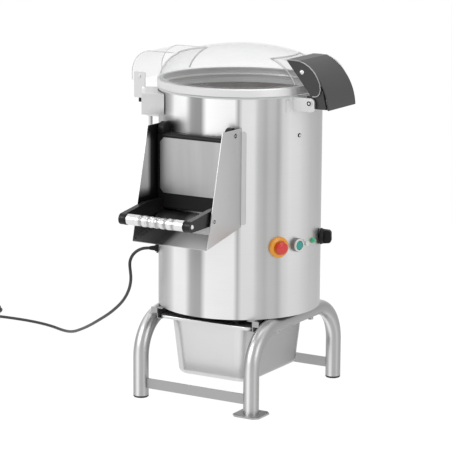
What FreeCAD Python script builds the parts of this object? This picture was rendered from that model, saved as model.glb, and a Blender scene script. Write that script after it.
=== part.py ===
import FreeCAD, Part
import math
import os
from FreeCAD import Vector

# Electric potato peeler: a steel drum with a turning abrasive disc stands on two bent tube
# arches, drops its peel into a pan underneath and lets the potatoes out through a front door.
# Millimetres. While it is built, Z is the drum's axis, Y points to the back and X to the hinge.

# Driving dimensions
DRUM_R = 200.0              # outside radius of the drum
SHEET = 1.5                 # sheet steel of drum and chute
DRUM_TOP = 752.5
TUBE_R = 19.0               # frame tube, 38 mm outside
TUBE_WALL = 1.5
LEG_X = 156.2
LEG_Y = 207.0
ARCH_BEND_R = 100.0         # centreline radius of the arch bends
ARCH_TOP = 200.0            # centreline height of the straight top run
DRUM_BOTTOM = ARCH_TOP + TUBE_R
FOOT_T = 5.0                # rubber under a leg
PLATE_T = 4.0               # steel foot plate
PLATE_HALF = 36.0
PLATE_HOLE = 26.0           # foot plate holes from the leg's axis

WINDOW_HALF = 82.0          # outlet in the drum wall
WINDOW_LOW = 484.0
WINDOW_HIGH = 648.0

CHUTE_HALF = 103.9          # outside of the chute's side plates
DOOR_HINGE_Y = -203.0
DOOR_HINGE_Z = 670.5
DOOR_HALF = 100.0
DOOR_FRONT = -220.0
DOOR_LOW = 480.5
DOOR_HIGH = 664.0
GRIP_Y = -383.0
GRIP_Z = 482.0
ARM_IN = 84.0
ARM_OUT = 97.5
PEG_Y = -296.0
PEG_Z = 480.5

LID_HINGE_X = 232.0
LID_HINGE_Z = 742.0
EAR_HALF = 68.0             # half the width of the lid's two side boxes
LID_WALL = 3.0
RIM_LOW = 757.3             # steel ring round the lid
RIM_HIGH = 777.0
RIM_R = 204.0

PAN_TOP = 202.0             # half size food pan, 265 by 325 by 150
PAN_DEPTH = 150.0
PAN_HALF_X = 132.5
PAN_HALF_Y = 162.5
PAN_Y = -4.5
PAN_WALL = 1.0

DECK_Z = 440.0              # floor of the wet chamber
DECK_T = 3.0
SHAFT_R = 10.0
MOTOR_X = 75.0
MOTOR_Y = 80.0
MOTOR_R = 58.0
MOTOR_SHAFT_R = 7.0
DRIVEN_R = 75.0
DRIVER_R = 20.0
PULLEY_Z = 238.0
PULLEY_H = 18.0
DRAIN_X = -70.0
DRAIN_Y = 100.0
DRAIN_R = 25.0

CONTROL_Z = 394.0
ESTOP_DEG = -32.0
START_DEG = -17.0
RESET_DEG = -8.5
LAMP_DEG = 2.0
KNOB_DEG = 18.0
GLAND_DEG = 212.0
GLAND_Z = 353.0
INLET_DEG = 130.0
INLET_Z = 700.0

FIT = 0.05                  # running clearance on a radius
CORD_R = 3.9
COIL_R = 43.0               # middle of the coil's turns
COIL_HALF = 8.0             # half the width of the wound cord
COIL_H = 16.0
CORD_NODES = ("supply_cord", "cord_coil", "cord_plug")

ORIGIN = Vector(0, 0, 0)
UP = Vector(0, 0, 1)
ACROSS = Vector(1, 0, 0)
BACK = Vector(0, 1, 0)

os.makedirs("parts", exist_ok=True)
nodes = {}


# Helpers for outlines and solids
def edges_of(path, place):
    """Edges through the points of path. A pair of points stands for an arc: its middle and its end."""
    edges = []
    last = place(*path[0])
    for step in path[1:]:
        if isinstance(step[0], tuple):
            middle, end = place(*step[0]), place(*step[1])
            edges.append(Part.Arc(last, middle, end).toShape())
        else:
            end = place(*step)
            edges.append(Part.LineSegment(last, end).toShape())
        last = end
    first = place(*path[0])
    if last.distanceToPoint(first) > 1e-6:
        edges.append(Part.LineSegment(last, first).toShape())
    return edges


def prism(path, place, along):
    return Part.Face(Part.Wire(edges_of(path, place))).extrude(along)


def prism_z(path, low, high):
    return prism(path, lambda x, y: Vector(x, y, low), UP * (high - low))


def prism_y(path, near, far):
    return prism(path, lambda x, z: Vector(x, near, z), BACK * (far - near))


def prism_x(path, left, right):
    return prism(path, lambda y, z: Vector(left, y, z), ACROSS * (right - left))


def box(x0, x1, y0, y1, z0, z1):
    return Part.makeBox(x1 - x0, y1 - y0, z1 - z0, Vector(x0, y0, z0))


def rod(radius, start, end):
    return Part.makeCylinder(radius, start.distanceToPoint(end), start, end - start)


def disc_z(radius, low, high, x=0.0, y=0.0):
    return Part.makeCylinder(radius, high - low, Vector(x, y, low))


def ring_z(outer, inner, low, high, x=0.0, y=0.0):
    return disc_z(outer, low, high, x, y).cut(disc_z(inner, low - 1, high + 1, x, y))


def turned(path, centre=ORIGIN):
    """A body turned about the vertical through centre, from a path of radius and height."""
    face = Part.Face(Part.Wire(edges_of(path, lambda r, z: Vector(r, 0, z))))
    solid = face.revolve(ORIGIN, UP, 360)
    solid.translate(centre)
    return solid


def rounded_rectangle(half_x, half_y, radius, z, centre_y=0.0):
    corners = []
    for sign_x, sign_y, start in ((1, 1, 0), (-1, 1, 90), (-1, -1, 180), (1, -1, 270)):
        centre = Vector(sign_x * (half_x - radius), centre_y + sign_y * (half_y - radius), z)
        corners.append(Part.makeCircle(radius, centre, UP, start, start + 90))
    edges = []
    for number, corner in enumerate(corners):
        following = corners[(number + 1) % 4]
        edges.append(corner)
        edges.append(Part.LineSegment(corner.Vertexes[-1].Point, following.Vertexes[0].Point).toShape())
    return Part.Wire(edges)


def mirrored(shape):
    return shape.mirror(ORIGIN, ACROSS)


def both_sides(shape):
    return Part.makeCompound([shape, mirrored(shape)])


def on_drum(shape, degrees, height):
    """Carries a shape built on the vertical axis to the drum's wall, with its top pointing outwards."""
    turn = FreeCAD.Rotation(Vector(0, 0, 1), degrees) * FreeCAD.Rotation(Vector(0, 1, 0), 90)
    angle = math.radians(degrees)
    foot = Vector(DRUM_R * math.cos(angle), DRUM_R * math.sin(angle), height)
    moved = shape.copy()
    moved.Placement = FreeCAD.Placement(foot, turn)
    return moved


def hexagon(across_flats):
    radius = across_flats / math.sqrt(3)
    return [(radius * math.cos(math.radians(60 * k)), radius * math.sin(math.radians(60 * k)))
            for k in range(6)]


def swept(wire, radius):
    start = wire.Vertexes[0].Point
    along = wire.Edges[0].tangentAt(wire.Edges[0].FirstParameter)
    section = Part.Wire(Part.makeCircle(radius, start, along))
    return wire.makePipeShell([section], True, False)


# Frame
def arch(side_x, front_foot):
    """One bent tube: up a front leg, back under the drum and down the rear leg."""
    reach = LEG_Y - ARCH_BEND_R
    low = ARCH_TOP - ARCH_BEND_R
    diagonal = ARCH_BEND_R * math.sqrt(0.5)
    path = [(-LEG_Y, front_foot), (-LEG_Y, low),
            ((-reach - diagonal, low + diagonal), (-reach, ARCH_TOP)),
            (reach, ARCH_TOP),
            ((reach + diagonal, low + diagonal), (LEG_Y, low)),
            (LEG_Y, FOOT_T)]
    edges = edges_of(path, lambda y, z: Vector(side_x, y, z))
    wire = Part.Wire(edges[:-1])
    tube = swept(wire, TUBE_R).cut(swept(wire, TUBE_R - TUBE_WALL))
    for bolt_y in BOLT_Y:
        tube = tube.cut(disc_z(BOLT_R + 0.2, ARCH_TOP - 30, ARCH_TOP + 30, side_x, bolt_y))
    return tube


BOLT_R = 4.0
BOLT_Y = (-85.0, 85.0)
STRETCHER_LOW = 24.0
STRETCHER_HIGH = 48.5
STRETCHER_T = 5.0


def stretcher(y):
    bar = box(-LEG_X, LEG_X, y - STRETCHER_T / 2, y + STRETCHER_T / 2, STRETCHER_LOW, STRETCHER_HIGH)
    for x in (-LEG_X, LEG_X):
        bar = bar.cut(disc_z(TUBE_R, 0, 2 * STRETCHER_HIGH, x, y))
    return bar


def rubber_foot(x, y):
    plug_r = TUBE_R - TUBE_WALL - 0.1
    path = [(0, 0), (TUBE_R - 2, 0), (TUBE_R, 2), (TUBE_R, FOOT_T), (plug_r, FOOT_T), (plug_r - 1.5, 26), (0, 26)]
    return turned(path, Vector(x, y, 0))


def foot_plate():
    half, chamfer = PLATE_HALF, 11.0
    flat = half - chamfer
    outline = [(half, -flat), (half, flat), (flat, half), (-flat, half), (-half, flat), (-half, -flat),
               (-flat, -half), (flat, -half)]
    plate = prism_z(outline, 0, PLATE_T)
    for sign_x in (-1, 1):
        for sign_y in (-1, 1):
            hole_x = PLATE_HOLE * sign_x
            hole_y = PLATE_HOLE * sign_y
            plate = plate.cut(disc_z(3.5, -1, PLATE_T + 1, hole_x, hole_y))
    plate.translate(Vector(LEG_X, -LEG_Y, 0))
    return plate


def frame_bolts():
    """Four bolts hold the drum's base down on the arches."""
    bolts = []
    head_low = ARCH_TOP - TUBE_R - 5.5
    for x in (-LEG_X, LEG_X):
        for y in BOLT_Y:
            head = prism_z(hexagon(13.0), head_low, head_low + 5.7)
            nut = prism_z(hexagon(13.0), DRUM_BOTTOM + 3.0, DRUM_BOTTOM + 9.5)
            bolt = head.fuse([nut, disc_z(BOLT_R, head_low, DRUM_BOTTOM + 12)])
            bolt.translate(Vector(x, y, 0))
            bolts.append(bolt)
    return Part.makeCompound(bolts)


nodes["frame_arch_left"] = arch(-LEG_X, FOOT_T)
nodes["frame_arch_right"] = arch(LEG_X, PLATE_T)
nodes["stretcher_front"] = stretcher(-LEG_Y)
nodes["stretcher_rear"] = stretcher(LEG_Y)
nodes["rubber_feet"] = Part.makeCompound(
    [rubber_foot(x, y) for x, y in ((-LEG_X, -LEG_Y), (-LEG_X, LEG_Y), (LEG_X, LEG_Y))])
nodes["foot_plate"] = foot_plate()
nodes["frame_bolts"] = frame_bolts()


# Drum and its floors
def outlet_cutter():
    return box(-WINDOW_HALF, WINDOW_HALF, -DRUM_R - 10, -DRUM_R / 2, WINDOW_LOW, WINDOW_HIGH)


def wall_hole(radius, degrees, height):
    return on_drum(Part.makeCylinder(radius, 30, Vector(0, 0, -15)), degrees, height)


CONTROL_HOLES = ((11.3, ESTOP_DEG, CONTROL_Z), (11.3, START_DEG, CONTROL_Z), (4.2, RESET_DEG, CONTROL_Z),
                 (4.2, LAMP_DEG, CONTROL_Z), (6.2, KNOB_DEG, CONTROL_Z), (10.2, GLAND_DEG, GLAND_Z),
                 (10.2, INLET_DEG, INLET_Z))


def drum_shell():
    shell = ring_z(DRUM_R, DRUM_R - SHEET, DRUM_BOTTOM, DRUM_TOP)
    shell = shell.cut(outlet_cutter())
    for radius, degrees, height in CONTROL_HOLES:
        shell = shell.cut(wall_hole(radius, degrees, height))
    return shell


def rim_seal():
    """Rubber edge trim on the drum's top, with a soft lip that the lid's ring presses on."""
    path = [(195.5, 740), (DRUM_R - SHEET, 740), (DRUM_R - SHEET, DRUM_TOP), (DRUM_R + 0.8, DRUM_TOP),
            ((DRUM_R + 1.4, 754.7), (DRUM_R, 757)), (196, 757), ((194.6, 755), (195.5, 752))]
    return turned(path)


def base_plate():
    plate = disc_z(DRUM_R - SHEET, DRUM_BOTTOM, DRUM_BOTTOM + 3)
    plate = plate.cut(disc_z(DRAIN_R, 0, 400, DRAIN_X, DRAIN_Y))
    for x in (-LEG_X, LEG_X):
        for y in BOLT_Y:
            plate = plate.cut(disc_z(BOLT_R + 0.2, 0, 400, x, y))
    return plate


def deck_plate():
    """Dished floor under the turning disc. Peel and water leave through the drain."""
    path = [(16.0, DECK_Z), (DRUM_R - SHEET, DECK_Z), (DRUM_R - SHEET, DECK_Z + 20),
            (DRUM_R - SHEET - 2, DECK_Z + 20), (DRUM_R - SHEET - 2, DECK_Z + DECK_T), (16.0, DECK_Z + DECK_T)]
    return turned(path).cut(disc_z(DRAIN_R - SHEET, 0, 600, DRAIN_X, DRAIN_Y))


def abrasive_liner():
    liner = ring_z(DRUM_R - SHEET - 0.2, 193.5, 500, 738)
    return liner.cut(outlet_cutter()).cut(wall_hole(10.2, INLET_DEG, INLET_Z))


def drain_spout():
    pipe = ring_z(DRAIN_R, DRAIN_R - SHEET, 208, DECK_Z, DRAIN_X, DRAIN_Y)
    collar = ring_z(DRAIN_R + 8, DRAIN_R, DRUM_BOTTOM + 3, DRUM_BOTTOM + 6, DRAIN_X, DRAIN_Y)
    return pipe.fuse(collar)


def water_inlet():
    """Hose tail at the back, with its nut inside the wall and a spray hole."""
    path = [(5, -22), (8, -22), (8, -7), (9.8, -6), (9.8, 3), (16, 3), (16, 9), (9, 9), (9, 14), (10.5, 14),
            (9, 20), (10.5, 20), (9, 26), (10.5, 26), (9, 32), (8, 34), (5, 34)]
    return on_drum(turned(path), INLET_DEG, INLET_Z)


nodes["drum_shell"] = drum_shell()
nodes["drum_rim_seal"] = rim_seal()
nodes["base_plate"] = base_plate()
nodes["deck_plate"] = deck_plate()
nodes["abrasive_liner"] = abrasive_liner()
nodes["drain_spout"] = drain_spout()
nodes["water_inlet"] = water_inlet()


# Turning disc and its drive
DISC_R = 188.0
DISC_LOW = 462.0
DISC_TOP = 472.0
HUB_TOP = 488.0
WAVE_R = 60.0
WAVE_RISE = 13.0


def peeling_disc():
    """Abrasive plate with three waves that toss the potatoes, and two ejector vanes underneath."""
    path = [(0, DISC_LOW), (DISC_R - 3, DISC_LOW), (DISC_R, DISC_LOW + 3), (DISC_R, DISC_TOP), (32, DISC_TOP),
            ((26, 483), (12, HUB_TOP)), (0, HUB_TOP)]
    disc = turned(path)
    keep = ring_z(DISC_R - 6, 30, DISC_TOP - 2, DISC_TOP + WAVE_RISE + 1)
    for number in range(3):
        angle = math.radians(90 + 120 * number)
        out = Vector(math.cos(angle), math.sin(angle), 0)
        start = Vector(0, 0, DISC_TOP + WAVE_RISE - WAVE_R)
        wave = Part.makeCylinder(WAVE_R, DISC_R, start, out).common(keep)
        disc = disc.fuse(wave)
    for number in range(2):
        vane = box(50, DISC_R - 12, -3, 3, DECK_Z + DECK_T + 4, DISC_LOW)
        vane.rotate(ORIGIN, UP, 45 + 180 * number)
        disc = disc.fuse(vane)
    return disc.cut(disc_z(SHAFT_R, 0, HUB_TOP - 8))


def bearing_housing():
    path = [(21.0, 340), (30, 340), (30, 425), (62, DECK_Z - 8), (62, DECK_Z), (21.0, DECK_Z)]
    return turned(path)


def ball_bearing(low):
    return ring_z(21.0, SHAFT_R + FIT, low, low + 14)


def pulley(radius, bore, x=0.0, y=0.0):
    """V groove pulley."""
    low, high = PULLEY_Z, PULLEY_Z + PULLEY_H
    middle = (low + high) / 2
    path = [(bore, low), (radius + 2, low), (radius + 2, low + 2.5), (radius - 9, middle - 3.8),
            (radius - 9, middle + 3.8), (radius + 2, high - 2.5), (radius + 2, high), (bore, high)]
    return turned(path, Vector(x, y, 0))


def belt_loop(inset, half_height):
    """Solid between two rounds that touch the belt's two straight runs."""
    middle = PULLEY_Z + PULLEY_H / 2
    big, small = DRIVEN_R - inset, DRIVER_R - inset
    reach = math.hypot(MOTOR_X, MOTOR_Y)
    lean = math.acos((big - small) / reach)
    heading = math.atan2(MOTOR_Y, MOTOR_X)
    corners = []
    for centre_x, centre_y, radius, sign in ((0, 0, big, 1), (MOTOR_X, MOTOR_Y, small, 1),
                                             (MOTOR_X, MOTOR_Y, small, -1), (0, 0, big, -1)):
        angle = heading + sign * lean
        corners.append((centre_x + radius * math.cos(angle), centre_y + radius * math.sin(angle)))
    low, high = middle - half_height, middle + half_height
    band = prism_z(corners, low, high)
    return band.fuse([disc_z(big, low, high), disc_z(small, low, high, MOTOR_X, MOTOR_Y)])


def drive_belt():
    return belt_loop(0.5, 3.2).cut(belt_loop(8.5, 4.2))


def motor_body():
    low, high = 266.0, 428.0
    rise = 14.0
    path = [(MOTOR_SHAFT_R + FIT, low), (MOTOR_R - 12, low), (MOTOR_R, low + rise), (MOTOR_R, high - 30),
            ((MOTOR_R - 4, high - 10), (MOTOR_R - 20, high)), (0, high), (0, low + 30),
            (MOTOR_SHAFT_R + FIT, low + 30)]
    body = turned(path, Vector(MOTOR_X, MOTOR_Y, 0))
    fins = []
    for number in range(16):
        fin = box(MOTOR_R - 2, MOTOR_R + 5, -1.2, 1.2, low + rise + 6, high - 40)
        fin.rotate(ORIGIN, UP, 22.5 * number)
        fin.translate(Vector(MOTOR_X, MOTOR_Y, 0))
        fins.append(fin)
    return body.fuse(fins)


def motor_mount():
    """Round plate under the motor on three posts that clear the belt."""
    plate = ring_z(68, 30, 262, 266, MOTOR_X, MOTOR_Y)
    heading = math.degrees(math.atan2(MOTOR_Y, MOTOR_X))
    for step in (0, 120, 240):
        angle = math.radians(heading + step)
        x = MOTOR_X + 61 * math.cos(angle)
        y = MOTOR_Y + 61 * math.sin(angle)
        plate = plate.fuse(disc_z(6, DRUM_BOTTOM + 3, 262, x, y))
    return plate


nodes["peeling_disc"] = peeling_disc()
nodes["drive_shaft"] = disc_z(SHAFT_R, 232, HUB_TOP - 8)
nodes["bearing_housing"] = bearing_housing()
nodes["shaft_bearings"] = Part.makeCompound([ball_bearing(346), ball_bearing(414)])
nodes["shaft_seal"] = ring_z(16.0, SHAFT_R + FIT, DECK_Z, DECK_Z + 9)
nodes["driven_pulley"] = pulley(DRIVEN_R, SHAFT_R)
nodes["drive_belt"] = drive_belt()
nodes["motor_pulley"] = pulley(DRIVER_R, MOTOR_SHAFT_R, MOTOR_X, MOTOR_Y)
nodes["motor_shaft"] = disc_z(MOTOR_SHAFT_R, 234, 290, MOTOR_X, MOTOR_Y)
nodes["motor_body"] = motor_body()
nodes["motor_mount"] = motor_mount()


# Peel pan and its rails
def pan_rail():
    """Folded channel that hangs from the base and carries one long side of the pan's rim."""
    top = DRUM_BOTTOM
    path = [(120, top - 2), (134.2, top - 2), (134.2, 193.5), (123, 193.5), (123, 191.7), (136.0, 191.7),
            (136.0, top), (120, top)]
    rail = prism_y(path, -166, 150)
    flange = box(134.2, 152, -167.5, -166, 205, top)
    return rail.fuse(flange)


def pan_shape(grow, low):
    """Tapered tub between the rim's height and its bottom, smaller by the wall for the inside."""
    upper = rounded_rectangle(119 - grow, 149 - grow, 45 - grow, PAN_TOP + 1, PAN_Y)
    lower = rounded_rectangle(104 - grow, 134 - grow, 38 - grow, low, PAN_Y)
    return Part.makeLoft([lower, upper], True, True)


def gn_pan():
    outer = pan_shape(0, PAN_TOP - PAN_DEPTH)
    foot = [e for e in outer.Edges if e.BoundBox.ZMax < PAN_TOP - PAN_DEPTH + 0.01]
    outer = outer.makeFillet(14, foot)
    inner = pan_shape(PAN_WALL, PAN_TOP - PAN_DEPTH + PAN_WALL)
    foot = [e for e in inner.Edges if e.BoundBox.ZMax < PAN_TOP - PAN_DEPTH + PAN_WALL + 0.01]
    inner = inner.makeFillet(13, foot)
    rim_face = Part.Face(rounded_rectangle(PAN_HALF_X, PAN_HALF_Y, 22, PAN_TOP - 8, PAN_Y))
    rim = rim_face.extrude(UP * 8)
    rim = rim.makeFillet(3, [e for e in rim.Edges if e.BoundBox.ZMin > PAN_TOP - 0.01])
    under = Part.Face(rounded_rectangle(PAN_HALF_X - PAN_WALL, PAN_HALF_Y - PAN_WALL, 21, PAN_TOP - 9, PAN_Y))
    rim = rim.cut(under.extrude(UP * (9 - PAN_WALL)))
    trim = box(-300, 300, -300, 300, PAN_TOP, PAN_TOP + 20)
    return outer.cut(trim).fuse(rim).cut(inner)


nodes["pan_rail_right"] = pan_rail()
nodes["pan_rail_left"] = mirrored(pan_rail())
nodes["gn_pan"] = gn_pan()


# Chute
CHUTE_TOP_FRONT = (-259.0, 685.0)
CHUTE_TOP_REAR = (-150.0, 685.0)
CHUTE_LOW_REAR = (-150.0, 450.5)
CHUTE_LOW_FRONT = (-326.6, 418.0)
CHUTE_FOLD = (-262.0, 439.0)
CHUTE_SILL = (-206.0, 474.0)


def drum_core(grow=0.0):
    return disc_z(DRUM_R + grow, 100, 900)


def chute_plate():
    plate = prism_x([CHUTE_TOP_FRONT, CHUTE_TOP_REAR, CHUTE_LOW_REAR, CHUTE_LOW_FRONT],
                    CHUTE_HALF - SHEET, CHUTE_HALF)
    plate = plate.cut(drum_core())
    for y, z in ((DOOR_HINGE_Y, DOOR_HINGE_Z), (PEG_Y, PEG_Z)):
        plate = plate.cut(rod(4.0, Vector(90, y, z), Vector(120, y, z)))
    return plate


def chute_floor():
    half = CHUTE_HALF - SHEET
    front_y, front_z = CHUTE_LOW_FRONT
    fold_y, fold_z = CHUTE_FOLD
    sill_y, sill_z = CHUTE_SILL
    path = [(front_y, front_z), (fold_y, fold_z), (sill_y, sill_z), (-150, sill_z), (-150, sill_z - SHEET),
            (sill_y + 0.6, sill_z - SHEET), (fold_y + 0.6, fold_z - SHEET), (front_y, front_z - SHEET)]
    return prism_x(path, -half, half).cut(drum_core())


def chute_pins():
    """Two hinge pins for the door and two pegs that its arms drop over."""
    inner = CHUTE_HALF - SHEET
    hinge = rod(4.0, Vector(86, DOOR_HINGE_Y, DOOR_HINGE_Z), Vector(CHUTE_HALF, DOOR_HINGE_Y, DOOR_HINGE_Z))
    hinge_head = rod(6.5, Vector(CHUTE_HALF, DOOR_HINGE_Y, DOOR_HINGE_Z),
                     Vector(CHUTE_HALF + 2, DOOR_HINGE_Y, DOOR_HINGE_Z))
    peg = rod(4.0, Vector(ARM_OUT - 3.5, PEG_Y, PEG_Z), Vector(CHUTE_HALF, PEG_Y, PEG_Z))
    peg_head = rod(6.0, Vector(CHUTE_HALF, PEG_Y, PEG_Z), Vector(CHUTE_HALF + 1.6, PEG_Y, PEG_Z))
    peg_collar = rod(5.5, Vector(inner - 1.5, PEG_Y, PEG_Z), Vector(inner, PEG_Y, PEG_Z))
    right = [hinge.fuse(hinge_head), peg.fuse([peg_head, peg_collar])]
    return Part.makeCompound(right + [mirrored(shape) for shape in right])


nodes["chute_plate_right"] = chute_plate()
nodes["chute_plate_left"] = mirrored(chute_plate())
nodes["chute_floor"] = chute_floor()
nodes["chute_pins"] = chute_pins()


# Door and its pull handle
def door_body():
    """Moulded panel whose back follows the drum, with two hinge knuckles on top."""
    panel = prism_x([(DOOR_FRONT, DOOR_LOW + 6), ((DOOR_FRONT + 1.8, DOOR_LOW + 1.8), (DOOR_FRONT + 6, DOOR_LOW)),
                     (-150, DOOR_LOW), (-150, DOOR_HIGH), (DOOR_FRONT + 8, DOOR_HIGH),
                     ((DOOR_FRONT + 2.3, DOOR_HIGH - 2.3), (DOOR_FRONT, DOOR_HIGH - 8))], -DOOR_HALF, DOOR_HALF)
    panel = panel.cut(drum_core(1.5))
    hollow = box(-DOOR_HALF + 14, DOOR_HALF - 14, DOOR_FRONT + 6, -100, DOOR_LOW + 14, DOOR_HIGH - 24)
    panel = panel.cut(hollow)
    hinge_from = Vector(86, DOOR_HINGE_Y, DOOR_HINGE_Z)
    hinge_to = Vector(DOOR_HALF, DOOR_HINGE_Y, DOOR_HINGE_Z)
    knuckle = rod(9.0, hinge_from, hinge_to)
    web = box(86, DOOR_HALF, DOOR_HINGE_Y - 9, DOOR_HINGE_Y + 9, DOOR_HIGH - 6, DOOR_HINGE_Z)
    ear = knuckle.fuse(web)
    panel = panel.fuse([ear, mirrored(ear)])
    bore = rod(4.0 + FIT, Vector(-120, DOOR_HINGE_Y, DOOR_HINGE_Z), Vector(120, DOOR_HINGE_Y, DOOR_HINGE_Z))
    return panel.cut(bore)


FACE_HALF = 92.0
FACE_LOW = 519.5
FACE_HIGH = 653.5
FACE_CHAMFER = 10.5


def door_plate():
    cut = FACE_CHAMFER
    path = [(-FACE_HALF, FACE_LOW + cut), (-FACE_HALF + cut, FACE_LOW), (FACE_HALF - cut, FACE_LOW),
            (FACE_HALF, FACE_LOW + cut), (FACE_HALF, FACE_HIGH - cut), (FACE_HALF - cut, FACE_HIGH),
            (-FACE_HALF + cut, FACE_HIGH), (-FACE_HALF, FACE_HIGH - cut)]
    return prism_y(path, DOOR_FRONT - 2, DOOR_FRONT)


def door_seal():
    """Soft frame between the door's back and the drum's wall round the outlet."""
    band = ring_z(DRUM_R + 1.5, DRUM_R + 0.3, WINDOW_LOW - 2, WINDOW_HIGH + 8)
    half = WINDOW_HALF + 8
    band = band.common(box(-half, half, -DRUM_R - 5, -100, WINDOW_LOW - 2, WINDOW_HIGH + 8))
    return band.cut(box(-WINDOW_HALF, WINDOW_HALF, -DRUM_R - 10, -100, WINDOW_LOW + 6, WINDOW_HIGH))


def handle_arm():
    """Tapered arm from the grip to the door. A curved groove lets it drop over its peg."""
    grip_r = 13.5
    side = prism_x([(GRIP_Y, GRIP_Z - grip_r), (-290, 470), (DOOR_FRONT, 479), (DOOR_FRONT, 506), (-290, 507.5),
                    (GRIP_Y, GRIP_Z + grip_r), ((GRIP_Y - grip_r, GRIP_Z), (GRIP_Y, GRIP_Z - grip_r))],
                   ARM_IN, ARM_OUT)
    reach = math.hypot(PEG_Y - DOOR_HINGE_Y, PEG_Z - DOOR_HINGE_Z)
    low_x, high_x = ARM_OUT - 4.0, ARM_OUT + 1.0
    track = rod(reach + 4.6, Vector(low_x, DOOR_HINGE_Y, DOOR_HINGE_Z), Vector(high_x, DOOR_HINGE_Y, DOOR_HINGE_Z))
    track = track.cut(rod(reach - 4.6, Vector(low_x - 1, DOOR_HINGE_Y, DOOR_HINGE_Z),
                          Vector(high_x + 1, DOOR_HINGE_Y, DOOR_HINGE_Z)))
    track = track.common(box(low_x, high_x, PEG_Y, -200, 430, 540))
    track = track.fuse(rod(4.6, Vector(low_x, PEG_Y, PEG_Z), Vector(high_x, PEG_Y, PEG_Z)))
    return side.cut(track)


GRIP_R = 13.0
GRIP_HALF = 78.0
RIPPLES = 5
RIPPLE_PITCH = 17.0


def handle_grip():
    """Aluminium grip turned with finger ripples."""
    start = -RIPPLES * RIPPLE_PITCH / 2
    path = [(4.2, -GRIP_HALF), (GRIP_R - 0.8, -GRIP_HALF), (GRIP_R, -GRIP_HALF + 0.8), (GRIP_R, start)]
    for number in range(RIPPLES):
        foot = start + number * RIPPLE_PITCH
        path.append(((GRIP_R - 2.6, foot + 3.2), (GRIP_R, foot + 6.4)))
        path.append(((GRIP_R + 0.5, foot + 6.4 + (RIPPLE_PITCH - 6.4) / 2), (GRIP_R, foot + RIPPLE_PITCH)))
    path += [(GRIP_R, GRIP_HALF - 0.8), (GRIP_R - 0.8, GRIP_HALF), (4.2, GRIP_HALF)]
    grip = turned(path)
    grip.Placement = FreeCAD.Placement(Vector(0, GRIP_Y, GRIP_Z), FreeCAD.Rotation(Vector(0, 1, 0), 90))
    return grip


def grip_caps():
    """Round end pieces between the grip and the arms."""
    cap = rod(GRIP_R + 0.7, Vector(GRIP_HALF, GRIP_Y, GRIP_Z), Vector(ARM_IN, GRIP_Y, GRIP_Z))
    return both_sides(cap.cut(rod(4.2, Vector(GRIP_HALF - 1, GRIP_Y, GRIP_Z), Vector(ARM_IN + 1, GRIP_Y, GRIP_Z))))


def grip_rod():
    """Rod through caps and grip with a domed end at each arm."""
    bar = rod(4.2, Vector(-ARM_IN, GRIP_Y, GRIP_Z), Vector(ARM_IN, GRIP_Y, GRIP_Z))
    head = Part.makeSphere(6.0, Vector(ARM_OUT - 2.5, GRIP_Y, GRIP_Z))
    head = head.common(box(ARM_OUT, ARM_OUT + 10, GRIP_Y - 9, GRIP_Y + 9, GRIP_Z - 9, GRIP_Z + 9))
    return Part.makeCompound([bar, head, mirrored(head)])


nodes["door_body"] = door_body()
nodes["door_plate"] = door_plate()
nodes["door_seal"] = door_seal()
nodes["handle_arms"] = both_sides(handle_arm())
nodes["handle_grip"] = handle_grip()
nodes["grip_caps"] = grip_caps()
nodes["grip_rod"] = grip_rod()


# Lid
DOME_TOP = 861.0
CREASE_R = 130.0
CREASE_Z = 843.5
SHOULDER_R = 202.0
LEFT_EAR_TOP = 835.0
RIGHT_EAR_TOP = 841.0
EAR_LOW = 758.5


def dome_path(inset):
    """Half section of the dome: a flat cap, a crease and a full shoulder."""
    top = DOME_TOP - inset
    crease_r, crease_z = CREASE_R - 0.4 * inset, CREASE_Z - inset
    drop = top - crease_z
    cap_r = (crease_r ** 2 + drop ** 2) / (2 * drop)
    half = math.asin(crease_r / cap_r) / 2
    cap_middle = (cap_r * math.sin(half), top - cap_r * (1 - math.cos(half)))
    foot = (SHOULDER_R - inset, RIM_HIGH)
    shoulder_middle = (182 - 0.75 * inset, 812 - 0.7 * inset)
    return [(0, RIM_HIGH), foot, (shoulder_middle, (crease_r, crease_z)), (cap_middle, (0, top))]


def left_ear(inset):
    low = EAR_LOW - (20 if inset else 0)
    end = -271 + inset
    top = LEFT_EAR_TOP - inset
    return prism_y([(end, low), (end, 776), ((-257.5 + 0.7 * inset, 816 - 0.7 * inset), (-222, top)),
                    (-100, top), (-100, low)], -EAR_HALF + inset, EAR_HALF - inset)


def right_ear(inset):
    low = EAR_LOW - (20 if inset else 0)
    top = RIGHT_EAR_TOP - inset
    past = 30 if inset else 0
    return prism_y([(100, low), (100, top), (HOOD_START + past, top), (HOOD_FOOT + past, low)],
                   -EAR_HALF + inset, EAR_HALF - inset)


HOOD_START = 164.0
HOOD_FOOT = 232.0


def lid_shell():
    """Clear dome with a box on each side: one reaches the safety switch, one carries the hinge hood."""
    full = turned(dome_path(0))
    dome = full.cut(turned(dome_path(LID_WALL)))
    flange = ring_z(RIM_R - 0.5, 190, RIM_HIGH, RIM_HIGH + LID_WALL)
    core = full.fuse(disc_z(RIM_R + 0.3, EAR_LOW - 40, RIM_HIGH + LID_WALL))
    left = left_ear(0).cut(left_ear(LID_WALL)).cut(core)
    right = right_ear(0).cut(right_ear(LID_WALL)).cut(core)
    return dome.fuse([flange, left, right])


def lid_rim():
    """Steel ring that stiffens the lid's edge and closes on the drum's seal."""
    path = [(192, RIM_LOW), (RIM_R - 1.5, RIM_LOW), (RIM_R, RIM_LOW + 1.5), (RIM_R, RIM_HIGH - 1.5),
            (RIM_R - 1.5, RIM_HIGH), (192, RIM_HIGH), (192, RIM_HIGH - 3), (199, RIM_HIGH - 3),
            (199, RIM_LOW + 3), (192, RIM_LOW + 3)]
    return turned(path)


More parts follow.
